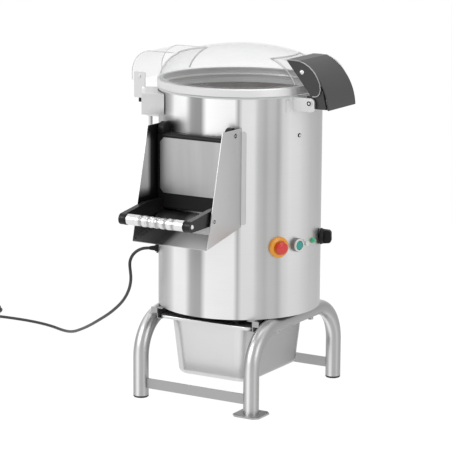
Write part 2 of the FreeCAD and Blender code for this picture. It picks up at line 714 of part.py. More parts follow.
def hood_profile(inset):
    """Side outline of the hood's rounded back, from its straight start to its lower lip."""
    top = RIGHT_EAR_TOP - inset
    return [(HOOD_START, top), (200, top), ((250 - 0.75 * inset, 804 - 0.65 * inset), (280 - inset, 727))]


def lid_hood():
    """Dark hood over the hinge, open below, with cheeks and two hinge knuckles inside."""
    outer = hood_profile(0) + [(HOOD_START, 727)]
    inner = hood_profile(LID_WALL) + [(HOOD_START, 727)]
    wide = EAR_HALF - LID_WALL
    skin = prism_y(outer, -EAR_HALF, EAR_HALF).cut(prism_y(inner, -EAR_HALF - 1, EAR_HALF + 1))
    cheek_path = [(HOOD_START, RIGHT_EAR_TOP), (300, RIGHT_EAR_TOP), (300, 783), (257, 783),
                  ((255, 766), (244, EAR_LOW)), (HOOD_FOOT, EAR_LOW)]
    body = prism_y(outer, -EAR_HALF, EAR_HALF)
    cheek = prism_y(cheek_path, wide, EAR_HALF).common(body)
    lug_path = [(LID_HINGE_X - 12, LID_HINGE_Z), ((LID_HINGE_X - 8, 732.5), (LID_HINGE_X, 728)), (272, 728),
                (262, 772), (240, 800), (LID_HINGE_X - 12, 800)]
    lug = prism_y(lug_path, 57, wide).common(body)
    lug = lug.cut(rod(4.0 + FIT, Vector(LID_HINGE_X, 40, LID_HINGE_Z), Vector(LID_HINGE_X, 90, LID_HINGE_Z)))
    pieces = [cheek, lug]
    backs = [piece.mirror(ORIGIN, BACK) for piece in pieces]
    return skin.fuse(pieces + backs).cut(right_ear(0))


def hood_screws():
    """Domed screws, one through each cheek."""
    dome = Part.makeSphere(7.0, Vector(206, -EAR_HALF + 3.5, 813.5))
    dome = dome.common(box(190, 220, -EAR_HALF - 5, -EAR_HALF, 800, 830))
    return Part.makeCompound([dome, dome.mirror(ORIGIN, BACK)])


def latch_plate():
    """Steel tongue on the left box. It hangs beside the safety switch when the lid is down."""
    front = -EAR_HALF - 2.2
    path = [(-264, 719), (-262, 717), (-234, 717), (-232, 719), (-232, 779), (-234, 781), (-262, 781), (-264, 779)]
    plate = prism_y(path, front, -EAR_HALF)
    head = rod(4.5, Vector(-249, front - 2, 769.5), Vector(-249, front, 769.5))
    return plate.fuse(head)


nodes["lid_shell"] = lid_shell()
nodes["lid_rim"] = lid_rim()
nodes["lid_hood"] = lid_hood()
nodes["hood_screws"] = hood_screws()
nodes["latch_plate"] = latch_plate()


# Lid hinge and safety switch
def hinge_brackets():
    """Two flat arms welded to the drum, each with a foot that follows the wall."""
    near, far = EAR_HALF + 2.0, EAR_HALF + 7.0
    arm = prism_y([(150, 721), (234, 721), ((242, 724), (245, 733)), (245, 742),
                   ((242, 751), (232, 754)), (150, 754)], near, far)
    foot = ring_z(DRUM_R + 3, DRUM_R, 718, 748).common(box(150, 250, near, near + 22, 700, 760))
    arm = arm.cut(drum_core()).fuse(foot)
    arm = arm.cut(rod(4.0, Vector(LID_HINGE_X, near - 5, LID_HINGE_Z), Vector(LID_HINGE_X, far + 5, LID_HINGE_Z)))
    return Part.makeCompound([arm, arm.mirror(ORIGIN, BACK)])


def hinge_pin():
    end = EAR_HALF + 7.0
    pin = rod(4.0, Vector(LID_HINGE_X, -end, LID_HINGE_Z), Vector(LID_HINGE_X, end, LID_HINGE_Z))
    heads = [rod(7.0, Vector(LID_HINGE_X, end, LID_HINGE_Z), Vector(LID_HINGE_X, end + 3, LID_HINGE_Z)),
             rod(7.0, Vector(LID_HINGE_X, -end - 3, LID_HINGE_Z), Vector(LID_HINGE_X, -end, LID_HINGE_Z))]
    return pin.fuse(heads)


def switch_outline(inset):
    return [(-150, -70 + inset), (-226, -70 + inset), (-238 + inset, -58), (-238 + inset, 48), (-228, 58 - inset),
            (-150, 58 - inset)]


def switch_box():
    shell = prism_z(switch_outline(0), 674, 726)
    shell = shell.cut(prism_z(switch_outline(2), 676, 724))
    shell = shell.cut(drum_core())
    return shell.cut(disc_z(5.1, 660, 680, -222, -60))


def switch_head():
    """Plastic actuator that the lid's tongue comes down beside."""
    body = box(-253, -238, -66, -36, 706, 731)
    slot = box(-249, -243, -70, -44, 716, 735)
    body = body.cut(slot)
    return body.fuse(box(-232, -206, -66, -36, 726, 731))


def switch_conduit():
    """Bent tube that takes the switch's wires back into the drum."""
    out = Vector(-222, -60, 0)
    inward = Vector(out).multiply(-1).normalize()
    bend = 18.0
    top = out + Vector(0, 0, 676)
    low = out + Vector(0, 0, 618)
    corner = low + Vector(0, 0, -bend)
    middle = low + inward * (bend * (1 - math.sqrt(0.5))) + Vector(0, 0, -bend * math.sqrt(0.5))
    turn_end = corner + inward * bend
    end = corner + inward * (out.Length - DRUM_R - 0.6)
    edges = [Part.LineSegment(top, low).toShape(), Part.Arc(low, middle, turn_end).toShape(),
             Part.LineSegment(turn_end, end).toShape()]
    return swept(Part.Wire(edges), 5.0)


nodes["hinge_brackets"] = hinge_brackets()
nodes["hinge_pin"] = hinge_pin()
nodes["switch_box"] = switch_box()
nodes["switch_head"] = switch_head()
nodes["switch_conduit"] = switch_conduit()


# Controls, each built upright and then carried to the drum's wall
def estop_collar():
    path = [(8.3, -9), (11, -9), (11, -1.2), (25.5, -3), (25.5, 5), (24, 7.5), (18, 10), (17, 10), (16.5, 8),
            (8.3, 8)]
    return on_drum(turned(path), ESTOP_DEG, CONTROL_Z).cut(drum_core().cut(wall_hole(11.1, ESTOP_DEG, CONTROL_Z)))


def estop_button():
    path = [(0, -12), (8.0, -12), (8.0, 13.5), (15.7, 14.5), (15.7, 19), ((13.5, 23.5), (7.5, 25.5)), (0, 26)]
    return on_drum(turned(path), ESTOP_DEG, CONTROL_Z)


def start_bezel():
    path = [(10.4, -9), (11, -9), (11, -1), (16.5, -1), (16.5, 9), (14, 12.5), (13.2, 12.5), (12, 10), (10.9, 10),
            (10.9, -6.5), (10.4, -6.5)]
    return on_drum(turned(path), START_DEG, CONTROL_Z).cut(drum_core().cut(wall_hole(11.1, START_DEG, CONTROL_Z)))


def start_button():
    path = [(0, -3), (10.6, -3), (10.6, 11.5), ((10.2, 12.6), (9, 13)), (0, 13.6)]
    return on_drum(turned(path), START_DEG, CONTROL_Z)


def reset_button():
    path = [(0, -10), (3.9, -10), (3.9, 4.5), (6.5, 4.5), (6.5, 9.5), ((5.4, 11.6), (3, 12.2)), (0, 12.4)]
    return on_drum(turned(path), RESET_DEG, CONTROL_Z)


def green_lamp():
    path = [(0, -12), (4.0, -12), (4.0, 0.2), (6.5, 0.2), (6.5, 2.5), (5.6, 2.5), (5.2, 6), ((4.1, 8.4), (2, 9.6)), (0, 9.6)]
    return on_drum(turned(path), LAMP_DEG, CONTROL_Z)


def timer_knob():
    """Skirted knob with a wing across its face."""
    skirt = turned([(0, -14), (6.0, -14), (6.0, 2.5), (20, 2.5), (20, 6), (17, 12), (0, 14)])
    wing = prism_y([(-17.5, 8), (17.5, 8), (16, 24), ((13.5, 28), (8, 30)), (-8, 30), ((-13.5, 28), (-16, 24))],
                   -5.5, 5.5)
    wing.rotate(ORIGIN, UP, 8)
    return on_drum(skirt.fuse(wing), KNOB_DEG, CONTROL_Z)


nodes["estop_collar"] = estop_collar()
nodes["estop_button"] = estop_button()
nodes["start_bezel"] = start_bezel()
nodes["start_button"] = start_button()
nodes["reset_button"] = reset_button()
nodes["green_lamp"] = green_lamp()
nodes["timer_knob"] = timer_knob()


# Supply cord: gland, relief, free cord, coil and plug
RELIEF_END = 22.0            # end of the sleeve, out from the wall
RELIEF_SOLID = 4.0


def cable_gland():
    """Screwed gland and the tapered rubber sleeve that leaves it."""
    flats = prism_z(hexagon(22), 0.6, 5)
    body = turned([(5.1, -10), (10, -10), (10, 0.6), (9, 5), (8.5, 8), (7, 9), (5.1, 9)])
    gland = flats.cut(Part.makeCylinder(9, 60, Vector(0, 0, -20))).fuse(body)
    inner_end = RELIEF_END - RELIEF_SOLID
    sleeve = turned([(CORD_R, -10), (5, -10), (5, 9), (6.4, 9), (6.4, 10), (4.6, RELIEF_END), (0, RELIEF_END),
                     (0, inner_end), (CORD_R, inner_end)])
    return Part.makeCompound([on_drum(gland, GLAND_DEG, GLAND_Z), on_drum(sleeve, GLAND_DEG, GLAND_Z)])


def gland_point(out):
    angle = math.radians(GLAND_DEG)
    return ((DRUM_R + out) * math.cos(angle), (DRUM_R + out) * math.sin(angle))


# Route of the free cord about the drum's axis, chosen by hand
EXIT_X, EXIT_Y = gland_point(RELIEF_END)
CORD_ROUTE = [
    (EXIT_X, EXIT_Y, GLAND_Z), (-197.6, -123.5, 353), (-206.9, -128.7, 350.3), (-215.6, -132.9, 345.1),
    (-223.2, -135.9, 337.7), (-229.1, -137.5, 328.6), (-233.1, -137.6, 318.3), (-234.8, -136.2, 307.5),
    (-236.2, -131.5, 293), (-242, -119, 271), (-254, -105, 246), (-272, -90, 221), (-298, -73, 194),
    (-332, -53, 168), (-370, -30, 143), (-420, 3, 115), (-482, 52, 82), (-550, 110, 50), (-616, 168, 22),
    (-682, 222, 5.2), (-746, 254, 4.1), (-814, 268, 4.1), (-884, 270, 4.1), (-950, 264, 4.1), (-1010, 262, 4.1),
]
COIL_X, COIL_Y = -1010.0, 305.0


def cord_path(points):
    """Straight runs joined by arcs, each as large as its two runs allow."""
    route = [Vector(*p) for p in points]
    edges = []
    radii = []
    start = route[0]
    for before, corner, after in zip(route, route[1:], route[2:]):
        arrive = corner - before
        leave = after - corner
        turn = arrive.getAngle(leave)
        shorter = min(arrive.Length, leave.Length)
        trim = 0.45 * shorter
        radius = trim / math.tan(turn / 2)
        radii.append(radius)
        enter = corner - Vector(arrive).normalize() * trim
        exit_ = corner + Vector(leave).normalize() * trim
        inward = (Vector(leave).normalize() - Vector(arrive).normalize()).normalize()
        centre = corner + inward * (radius / math.cos(turn / 2))
        middle = centre - inward * radius
        edges.append(Part.LineSegment(start, enter).toShape())
        edges.append(Part.Arc(enter, middle, exit_).toShape())
        start = exit_
    edges.append(Part.LineSegment(start, route[-1]).toShape())
    return Part.Wire(edges), radii


def supply_cord():
    wire, radii = cord_path(CORD_ROUTE)
    tube = swept(wire, CORD_R)
    expected = math.pi * CORD_R ** 2 * wire.Length
    print("cord length", round(wire.Length), "mm, volume over section times length",
          round(tube.Volume / expected, 4), "radii", [round(r) for r in radii])
    return tube


def cord_coil():
    """Outer shape of the neat round coil that the spare length makes."""
    half, crown = COIL_HALF, COIL_HALF / 2
    path = [(COIL_R - half, 0.2), (COIL_R + half, 0.2), (COIL_R + half, COIL_H - crown), (COIL_R + crown, COIL_H),
            (COIL_R - crown, COIL_H), (COIL_R - half, COIL_H - crown)]
    return turned(path, Vector(COIL_X, COIL_Y, 0))


PLUG_R = 19.0
PLUG_LENGTH = 45.0
PLUG_DEG = 216.0
PLUG_BACK = (3.4, -50.7)    # back of the plug from the coil's middle
PIN_R = 2.4
PIN_X = 9.5


def cord_plug():
    """Round two-pin plug lying beside the coil, with a tapered back that touches it."""
    path = [(0, 0), (4.5, 0), (6.5, 12), (16, 22), (PLUG_R, 26), (PLUG_R, 42), (17.5, PLUG_LENGTH),
            (0, PLUG_LENGTH)]
    body = turned(path)
    for x in (-PIN_X, PIN_X):
        body = body.fuse(Part.makeCylinder(PIN_R, 19, Vector(x, 0, PLUG_LENGTH)))
    lay = FreeCAD.Rotation(UP, PLUG_DEG) * FreeCAD.Rotation(BACK, 90)
    back = Vector(COIL_X + PLUG_BACK[0], COIL_Y + PLUG_BACK[1], PLUG_R + 0.2)
    body.Placement = FreeCAD.Placement(back, lay)
    return body


nodes["cable_gland"] = cable_gland()
nodes["supply_cord"] = supply_cord()
nodes["cord_coil"] = cord_coil()
nodes["cord_plug"] = cord_plug()


# The origin is the middle of the machine's box, on the floor. The free cord doesn't count.
whole = FreeCAD.BoundBox()
for name, shape in nodes.items():
    if name not in CORD_NODES:
        whole.add(shape.BoundBox)
shift = Vector(-whole.Center.x, -whole.Center.y, 0)
for name, shape in nodes.items():
    moved = shape.copy()
    moved.translate(shift)
    moved.exportStep("parts/" + name + ".step")
    solids = len(moved.Solids)
    if not moved.isValid() or solids == 0:
        print("CHECK", name, "valid", moved.isValid(), "solids", solids)
print("nodes", len(nodes), "drum axis at", round(shift.x, 3), round(shift.y, 3))
print("box", [round(v, 2) for v in (whole.XMin, whole.XMax, whole.YMin, whole.YMax, whole.ZMin, whole.ZMax)])
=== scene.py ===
# %% [markdown]
# # A drum potato peeler
# The CAD model brings every solid piece. This lesson dresses it: brushed and polished steel, black
# rubber and plastic, a clear lid, coloured buttons and a free supply cord. Each cell does one thing
# and prints what it made, so the cells can be run one after another in a notebook.
# Blender's lengths are metres, Z is up, and the machine's front looks along -Y. The machine's own
# outlines are written in millimetres from the drum's axis, and are turned into metres by a helper.

# %% Load the frame
import math

import bmesh
import bpy
from mathutils import Matrix, Vector


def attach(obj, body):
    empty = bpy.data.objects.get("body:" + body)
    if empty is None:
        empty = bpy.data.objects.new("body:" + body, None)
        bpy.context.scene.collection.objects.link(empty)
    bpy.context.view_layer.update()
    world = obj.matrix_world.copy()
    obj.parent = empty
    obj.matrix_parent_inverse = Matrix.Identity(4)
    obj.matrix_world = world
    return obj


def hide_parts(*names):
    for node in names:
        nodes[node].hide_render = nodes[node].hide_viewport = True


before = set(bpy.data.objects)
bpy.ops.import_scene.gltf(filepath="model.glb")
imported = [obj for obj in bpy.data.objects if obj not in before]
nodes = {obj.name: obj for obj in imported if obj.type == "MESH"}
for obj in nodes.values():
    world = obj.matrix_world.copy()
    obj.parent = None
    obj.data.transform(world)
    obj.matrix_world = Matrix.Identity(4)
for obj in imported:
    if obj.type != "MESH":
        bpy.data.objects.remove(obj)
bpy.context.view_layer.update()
print("loaded", len(nodes), "pieces")

# %% [markdown]
# ## Where things are
# Most round pieces stand about the drum's upright axis, so one point and two helpers place them:
# `drum_point` takes an angle round the drum, a distance from its axis and a height, in metres, and
# `from_axis` takes millimetres along the three axes.

# %% The drum's axis
AXIS_X, AXIS_Y = -0.004448, 0.080995
DRUM_R = 0.2


def drum_point(degrees, distance, height):
    angle = math.radians(degrees)
    return Vector((AXIS_X + distance * math.cos(angle), AXIS_Y + distance * math.sin(angle), height))


def from_axis(x, y, z):
    """A point given in millimetres from the drum's axis on the floor."""
    return Vector((AXIS_X + x / 1000, AXIS_Y + y / 1000, z / 1000))


def heading(degrees):
    """The level direction at an angle round the drum."""
    return Vector((math.cos(math.radians(degrees)), math.sin(math.radians(degrees)), 0))


print("axis", AXIS_X, AXIS_Y)

# %% [markdown]
# ## The camera
# A product photograph is taken from far off with a long lens, so that upright lines stay upright.
# The place, the two angles and the small roll come from fitting the drum's two ends and the feet
# that can be seen. A camera looks along its own -Z, so the matrix's columns are right, up and
# backwards.

# %% Camera
HEADING, DOWN, ROLL = (math.radians(a) for a in (30.649, 11.492, 0.37))
CAMERA_PLACE = (2888.56, -4940.91, 1571.99)
SENSOR = 36.0
FOCAL_PIXELS, FRAME_PIXELS = 2368.82, 452
NEAR, FAR = 0.1, 60

forward = Vector((-math.sin(HEADING) * math.cos(DOWN), math.cos(HEADING) * math.cos(DOWN), -math.sin(DOWN)))
level = Vector((math.cos(HEADING), math.sin(HEADING), 0))
upright = level.cross(forward)
right = level * math.cos(ROLL) + upright * math.sin(ROLL)
up = upright * math.cos(ROLL) - level * math.sin(ROLL)

lens = bpy.data.cameras.new("product_lens")
lens.sensor_width = SENSOR
lens.lens = FOCAL_PIXELS / FRAME_PIXELS * SENSOR
lens.clip_start, lens.clip_end = NEAR, FAR
camera = bpy.data.objects.new("product_camera", lens)
bpy.context.scene.collection.objects.link(camera)
pose = Matrix((right, up, -forward)).transposed().to_4x4()
pose.translation = from_axis(*CAMERA_PLACE)
camera.matrix_world = pose
bpy.context.scene.camera = camera
print("focal length", round(lens.lens, 1), "mm")

# %% [markdown]
# ## Shader maths as Python
# A material is a small program of nodes. Wiring each Math node by hand hides the idea, so a `Wire`
# stands for one output, and the usual signs add the nodes: `1 - mask * 0.3` is two Math nodes.

# %% Wires
class Wire:
    def __init__(self, recipe, socket):
        self.recipe, self.socket = recipe, socket

    def maths(self, operation, first, second=None):
        values = [first] if second is None else [first, second]
        return self.recipe.node("ShaderNodeMath", {"operation": operation}, dict(enumerate(values)))

    def __add__(self, other):
        return self.maths("ADD", self, other)

    def __sub__(self, other):
        return self.maths("SUBTRACT", self, other)

    def __mul__(self, other):
        return self.maths("MULTIPLY", self, other)

    def __truediv__(self, other):
        return self.maths("DIVIDE", self, other)

    def __pow__(self, other):
        return self.maths("POWER", self, other)

    __radd__ = __add__
    __rmul__ = __mul__

    def __rsub__(self, other):
        return self.maths("SUBTRACT", other, self)

    def atan2(self, other):
        return self.maths("ARCTAN2", self, other)

    def sine(self):
        return self.maths("SINE", self)

    def largest(self, other):
        return self.maths("MAXIMUM", self, other)


print("wires ready")

# %% [markdown]
# ## One method for every other node
# `Recipe` owns a tree of nodes. Its method `node` makes any node from its type, its settings and
# its inputs, and the short methods below it name the few nodes that come back in most finishes.
# Every piece's own origin is the origin of the whole machine, so object coordinates are the
# machine's metres, and a finish can say where on the machine something happens.

# %% Recipes
class Recipe:
    def __init__(self, tree):
        self.tree = tree

    def node(self, kind, settings=None, inputs=None, output=0):
        made = self.tree.nodes.new(kind)
        for name, value in (settings or {}).items():
            if name == "stops":
                self.ramp_stops(made, value)
            else:
                setattr(made, name, value)
        for name, value in (inputs or {}).items():
            self.feed(made.inputs[name], value)
        return Wire(self, made.outputs[output])

    def feed(self, socket, value):
        if isinstance(value, Wire):
            self.tree.links.new(value.socket, socket)
        else:
            socket.default_value = value

    def ramp_stops(self, made, stops):
        elements = made.color_ramp.elements
        elements.remove(elements[1])
        for number, (place, grey) in enumerate(stops):
            element = elements[0] if number == 0 else elements.new(place)
            element.position = place
            element.color = (grey, grey, grey, 1)

    def coordinates(self, kind="Object"):
        """The three coordinates of a point, or with "Normal" the way the surface faces there."""
        split = self.node("ShaderNodeSeparateXYZ", inputs={0: self.node("ShaderNodeTexCoord", output=kind)})
        return [Wire(self, split.socket.node.outputs[k]) for k in range(3)]

    def noise(self, scale, detail=3.0, stretch=(1, 1, 1)):
        seen = self.node("ShaderNodeTexCoord", output="Object")
        seen = self.node("ShaderNodeVectorMath", {"operation": "MULTIPLY"}, {0: seen, 1: stretch})
        return self.node("ShaderNodeTexNoise", {}, {"Vector": seen, "Scale": scale, "Detail": detail})

    def fade(self, value, start, end, low=0.0, high=1.0):
        """Goes from low to high while value goes from start to end, and stays level beyond them."""
        return self.node("ShaderNodeMapRange", {}, {0: value, 1: start, 2: end, 3: low, 4: high})

    def ramp(self, stops, value):
        return self.node("ShaderNodeValToRGB", {"stops": stops}, {0: value})

    def blend(self, share, first, second):
        return self.node("ShaderNodeMix", {"data_type": "RGBA"}, {0: share, 6: first, 7: second}, output=2)

    def grey(self, value):
        return self.node("ShaderNodeCombineColor", {}, {0: value, 1: value, 2: value})

    def bump(self, height, strength, distance=0.0002):
        return self.node("ShaderNodeBump", {}, {"Height": height, "Strength": strength, "Distance": distance})

    def rays(self, kind):
        """1 when a ray of this kind meets the surface, and 0 otherwise."""
        return self.node("ShaderNodeLightPath", output=kind)

    def end_with(self, kind, shader):
        """Feeds the tree's output node."""
        self.feed(self.tree.nodes.new(kind).inputs[0], shader)


def finish_recipe(name, write, **fixed):
    """A Principled material. write(recipe) returns the inputs that vary over the surface."""
    material = bpy.data.materials.new(name)
    material.use_nodes = True
    recipe = Recipe(material.node_tree)
    shader = material.node_tree.nodes["Principled BSDF"]
    for title, value in {**fixed, **write(recipe)}.items():
        recipe.feed(shader.inputs[title.replace("_", " ")], value)
    return material


print("recipes ready")

# %% [markdown]
# ## Brushed sheet steel for the drum
# A grinding belt leaves fine lines round the drum, so a bright window stretches into tall soft
# bands. Those bands are what makes the eye read rolled steel. They could be left to the lights
# alone, but in this plain studio they would come out faint, so they are written into the base
# colour: a ramp over the angle round the drum, its greys set after the reflections in the
# photograph. The ramp's middle faces the side that the photograph was taken from. The bands are
# fixed to the sheet and don't move with the lights, as real reflections do.

# %% Drum bands
BANDS = [
    (0.0, 0.42), (0.06, 0.56), (0.12, 0.38), (0.18, 0.5), (0.25, 0.38), (0.325, 0.44), (0.342, 0.62),
    (0.356, 0.97), (0.386, 0.97), (0.4, 0.36), (0.411, 0.3), (0.422, 0.3), (0.433, 1.0), (0.489, 0.96),
    (0.496, 0.42), (0.503, 0.78), (0.526, 0.78), (0.534, 0.52), (0.549, 0.38), (0.556, 0.46), (0.568, 0.45),
    (0.576, 0.37), (0.585, 0.62), (0.602, 0.76), (0.625, 0.74), (0.66, 0.54), (0.7, 0.42), (0.75, 0.38),
    (0.81, 0.52), (0.87, 0.38), (0.94, 0.56), (1.0, 0.42)]
BAND_MEAN, BAND_DRIFT = 0.6, 0.01   # the drift bends the bands a little, as on rolled sheet
FRONT_DEG = -59.7                   # the middle of the ramp, round the drum
BANDS_LOW, BANDS_FULL = (0.28, 0.68), (0.62, 1.0)       # a height, and the bands' strength there
DRUM_LINES = (9, 9, 1700)           # noise squeezed along Z gives lines that run round the drum
# The patch below is painted shade and reflection of the door's black left knuckle on the drum.
KNUCKLE_SHADE_X, KNUCKLE_SHADE_Z = -0.088, 0.679      # middle of the dark patch above the door's left knuckle
KNUCKLE_SHADE_WIDE, KNUCKLE_SHADE_HIGH = 0.0016, 0.0006                   # half its width and half its height, squared
KNUCKLE_SHADE_FRONT, KNUCKLE_SHADE_DEPTH = (-0.1, -0.14), 0.75            # only on the drum's front


def brushed(recipe, tone, roughness, lines, depth=0.06):
    """What varies over every brushed sheet: its grey, its roughness and the relief of its lines."""
    return {"Base_Color": recipe.grey(tone), "Roughness": roughness, "Normal": recipe.bump(lines, depth)}


def drum_sheet(recipe):
    x, y, z = recipe.coordinates()
    x, y = x - AXIS_X, y - AXIS_Y
    towards = heading(FRONT_DEG)
    beside = -towards.y * x + towards.x * y
    facing = towards.x * x + towards.y * y
    turn = beside.atan2(facing) / (2 * math.pi) + 0.5
    drift = recipe.noise(2.2, 2.0, (1, 1, 0.6)) - 0.5
    bands = recipe.ramp(BANDS, turn + drift * BAND_DRIFT)
    strength = recipe.fade(z, BANDS_LOW[0], BANDS_FULL[0], BANDS_LOW[1], BANDS_FULL[1])
    lines = recipe.noise(1.0, 4.0, DRUM_LINES)
    cloud = recipe.noise(7.0, 3.0)
    tone = BAND_MEAN + (bands - BAND_MEAN) * strength
    tone = tone * (0.93 + 0.1 * lines) * (0.96 + 0.08 * cloud)
    # Painted shade and reflection of the door's black left knuckle, darkening the drum just above the door.
    beside_knuckle = recipe.fade((x - KNUCKLE_SHADE_X) ** 2, 0.0, KNUCKLE_SHADE_WIDE, 1.0, 0.0)
    above_door = recipe.fade((z - KNUCKLE_SHADE_Z) ** 2, 0.0, KNUCKLE_SHADE_HIGH, 1.0, 0.0)
    in_front = recipe.fade(y, *KNUCKLE_SHADE_FRONT)
    tone = tone * (1 - KNUCKLE_SHADE_DEPTH * beside_knuckle * above_door * in_front)
    return brushed(recipe, tone, 0.3 + 0.14 * lines, lines, 0.08)


drum_steel = finish_recipe("drum brushed steel", drum_sheet, Metallic=0.9)
print("drum bands", len(BANDS))

# %% [markdown]
# ## Other steels
# Satin sheet, rolled rim, bolts and polished pins are one metal with different grinding. One
# function takes the tone, the roughness and how the noise is stretched: a high number squeezes it
# along that axis, so that the lines run across it. A faint cloud keeps each face from one flat grey.

# %% Steel family
def steel(name, tone, roughness, lines_along, lines=0.08, cloud=0.06, metallic=0.92, cloud_along=(1, 1, 1)):
    def write(recipe):
        fine = recipe.noise(1.0, 4.0, lines_along)
        broad = recipe.noise(9.0, 3.0, cloud_along)
        value = tone * (1 - lines / 2 - cloud / 2 + lines * fine + cloud * broad)
        return brushed(recipe, value, roughness - 0.05 + 0.12 * fine, fine)
    return finish_recipe(name, write, Metallic=metallic)


EVEN = (200, 200, 200)
CHUTE_LINES = (14, 1100, 60)
sheet_steel = steel("satin sheet", 0.42, 0.42, (14, 14, 1300), lines=0.1)
chute_steel = steel("chute sheet", 0.56, 0.36, CHUTE_LINES, lines=0.1)
bracket_steel = steel("bright bracket", 0.7, 0.34, EVEN, lines=0.05, cloud=0.12, metallic=0.7)
face_steel = steel("door face sheet", 0.47, 0.34, (1500, 14, 14), lines=0.1, cloud=0.34,
                   cloud_along=(3, 1, 0.25))
rim_steel = steel("rolled rim", 0.78, 0.3, (10, 10, 1500), lines=0.06, metallic=0.55)
polished_steel = steel("polished pins", 0.72, 0.14, (300, 300, 300), lines=0.04)
zinc_steel = steel("zinc plate", 0.45, 0.4, EVEN, lines=0.1, cloud=0.2)
cast_metal = steel("machined casting", 0.22, 0.5, (250, 250, 250), lines=0.2, cloud=0.2, metallic=0.7)
print("plain steels made")

# %% [markdown]
# ## Ground tube and pressed pan
# A bent tube shows the room as soft stripes along its length, and the pan's flat walls each show
# one tone of it. Both follow from the way a surface faces, so a ramp over the normal gives them
# their tones, and they stay with the piece when it moves. As with the drum, the tones are written
# into the base colour after the photograph.

# %% Tube and pan
TUBE_TONES = [(0.0, 0.34), (0.12, 0.42), (0.27, 0.86), (0.34, 0.8), (0.44, 0.46), (0.6, 0.42), (0.72, 0.56),
              (0.84, 0.4), (1.0, 0.28)]
PAN_TONES = [(0.0, 0.6), (0.16, 0.8), (0.24, 0.74), (0.4, 0.8), (0.6, 0.62), (0.85, 0.42), (0.95, 0.4),
             (1.0, 0.36)]
TURN_X, TURN_Y = 0.43, 0.255        # half a unit vector, towards the machine's back right corner


def turned_to(recipe, stops):
    """A ramp over how far a surface is turned towards the machine's back right corner."""
    x, y, _ = recipe.coordinates("Normal")
    return recipe.ramp(stops, x * TURN_X + y * TURN_Y + 0.5)


def round_tube(recipe):
    fine = recipe.noise(1.0, 3.0, (300, 300, 60))
    broad = recipe.noise(5.0, 2.0)
    tone = turned_to(recipe, TUBE_TONES) * (0.93 + 0.06 * fine + 0.08 * broad)
    return {"Base_Color": recipe.grey(tone), "Roughness": 0.3 + 0.06 * fine}


def pressed_pan(recipe):
    fine = recipe.noise(40.0, 2.0)
    broad = recipe.noise(5.0, 2.0)
    tone = turned_to(recipe, PAN_TONES) * (0.94 + 0.02 * fine + 0.08 * broad)
    return {"Base_Color": recipe.grey(tone), "Roughness": 0.32 + 0.05 * broad}


tube_steel = finish_recipe("ground tube", round_tube, Metallic=0.9)
pan_steel = finish_recipe("pressed pan", pressed_pan, Metallic=0.85)
print("tube and pan steel made")

# %% [markdown]
# ## The chute's sheets
# The chute's left plate and its floor stand close to the black door, and mirror it as dark patches
# with sharp limits. This brushed finish mirrors too softly for that, so each patch is written into
# the base colour by where it lies on the machine, as a product of fades. It stays dark there when
# the door is open, which a real sheet would not.

# %% Left chute plate
PLATE_FACES = (-0.1029, -0.1025)    # the outer face stays plain, the inner face has the pattern
LIGHT_STARTS, LIGHT_ENDS = (0.515, 0.54), (0.672, 0.652)
FREE_OF_DOOR = (-0.246, -0.262)
UNDER_PEG = (0.486, 0.47)
DARK_TONE, LIGHT_TONE, PEG_TONE, OUTER_TONE = 0.025, 0.85, 0.16, 0.6


def beside_door(recipe):
    """Mirrors the black door and arms round a lighter middle."""
    x, y, z = recipe.coordinates()
    fine = recipe.noise(1.0, 4.0, CHUTE_LINES)
    ahead = recipe.fade(y - AXIS_Y, *FREE_OF_DOOR)
    light = ahead * recipe.fade(z, *LIGHT_STARTS) * recipe.fade(z, *LIGHT_ENDS)
    tone = DARK_TONE + LIGHT_TONE * light + PEG_TONE * recipe.fade(z, *UNDER_PEG) * ahead
    tone = tone + (OUTER_TONE - tone) * (1 - recipe.fade(x - AXIS_X, *PLATE_FACES))
    return brushed(recipe, tone * (0.94 + 0.1 * fine), 0.34 + 0.1 * fine, fine)


left_plate_steel = finish_recipe("left chute plate", beside_door, Metallic=0.9)
print("left chute plate made")

# %% Chute floor
# The bright right half is a painted reflection, and the dark left half a painted reflection of the door
# handle.
RIGHT_HALF = (-0.022, -0.002)       # where the bright half begins, in metres from the axis
LEFT_EDGE = (-0.04, -0.1)           # a weaker light towards the left edge
FLOOR_TONE, LEFT_TONE, RIGHT_TONE = 0.1, 0.3, 0.44


def chute_bottom(recipe):
    """Mirrors the dark door handle over the floor's left half."""
    x, _, _ = recipe.coordinates()
    x = x - AXIS_X
    fine = recipe.noise(1.0, 4.0, (1100, 14, 14))
    tone = FLOOR_TONE + recipe.fade(x, *LEFT_EDGE, 0.0, LEFT_TONE) + RIGHT_TONE * recipe.fade(x, *RIGHT_HALF)
    return brushed(recipe, tone * (0.94 + 0.12 * fine), 0.34 + 0.1 * fine, fine)


chute_floor_steel = finish_recipe("chute floor sheet", chute_bottom, Metallic=0.9)
print("chute floor made")

# %% [markdown]
# ## The door's grip
# The grip is a polished bar with five shallow waves for the fingers. They are too shallow to be
# seen as an outline, so a sine along the bar paints shade into them and bends the surface there,
# and a mask keeps the bar's two ends plain.

# %% Grip
WAVE_TURN = 285.0                   # radians per metre of grip, so a wave is 22 mm long
WAVED_PART = (0.0026, 0.0034)       # squared distance from the bar's middle


def ribbed_grip(recipe):
    along, _, _ = recipe.coordinates()
    along = along - AXIS_X
    wave = (along * WAVE_TURN).sine() * 0.5 + 0.5
    middle = recipe.fade(along * along, *WAVED_PART, 1.0, 0.0)
    fine = recipe.noise(1.0, 4.0, (900, 14, 14))
    # Painted shade in the finger waves.
    tone = 0.78 * (1 - 0.5 * wave ** 2 * middle) * (0.95 + 0.1 * fine)
    return {"Base_Color": recipe.grey(tone), "Roughness": 0.24 + 0.08 * fine,
            "Normal": recipe.bump(wave * middle, 0.5, 0.0012)}


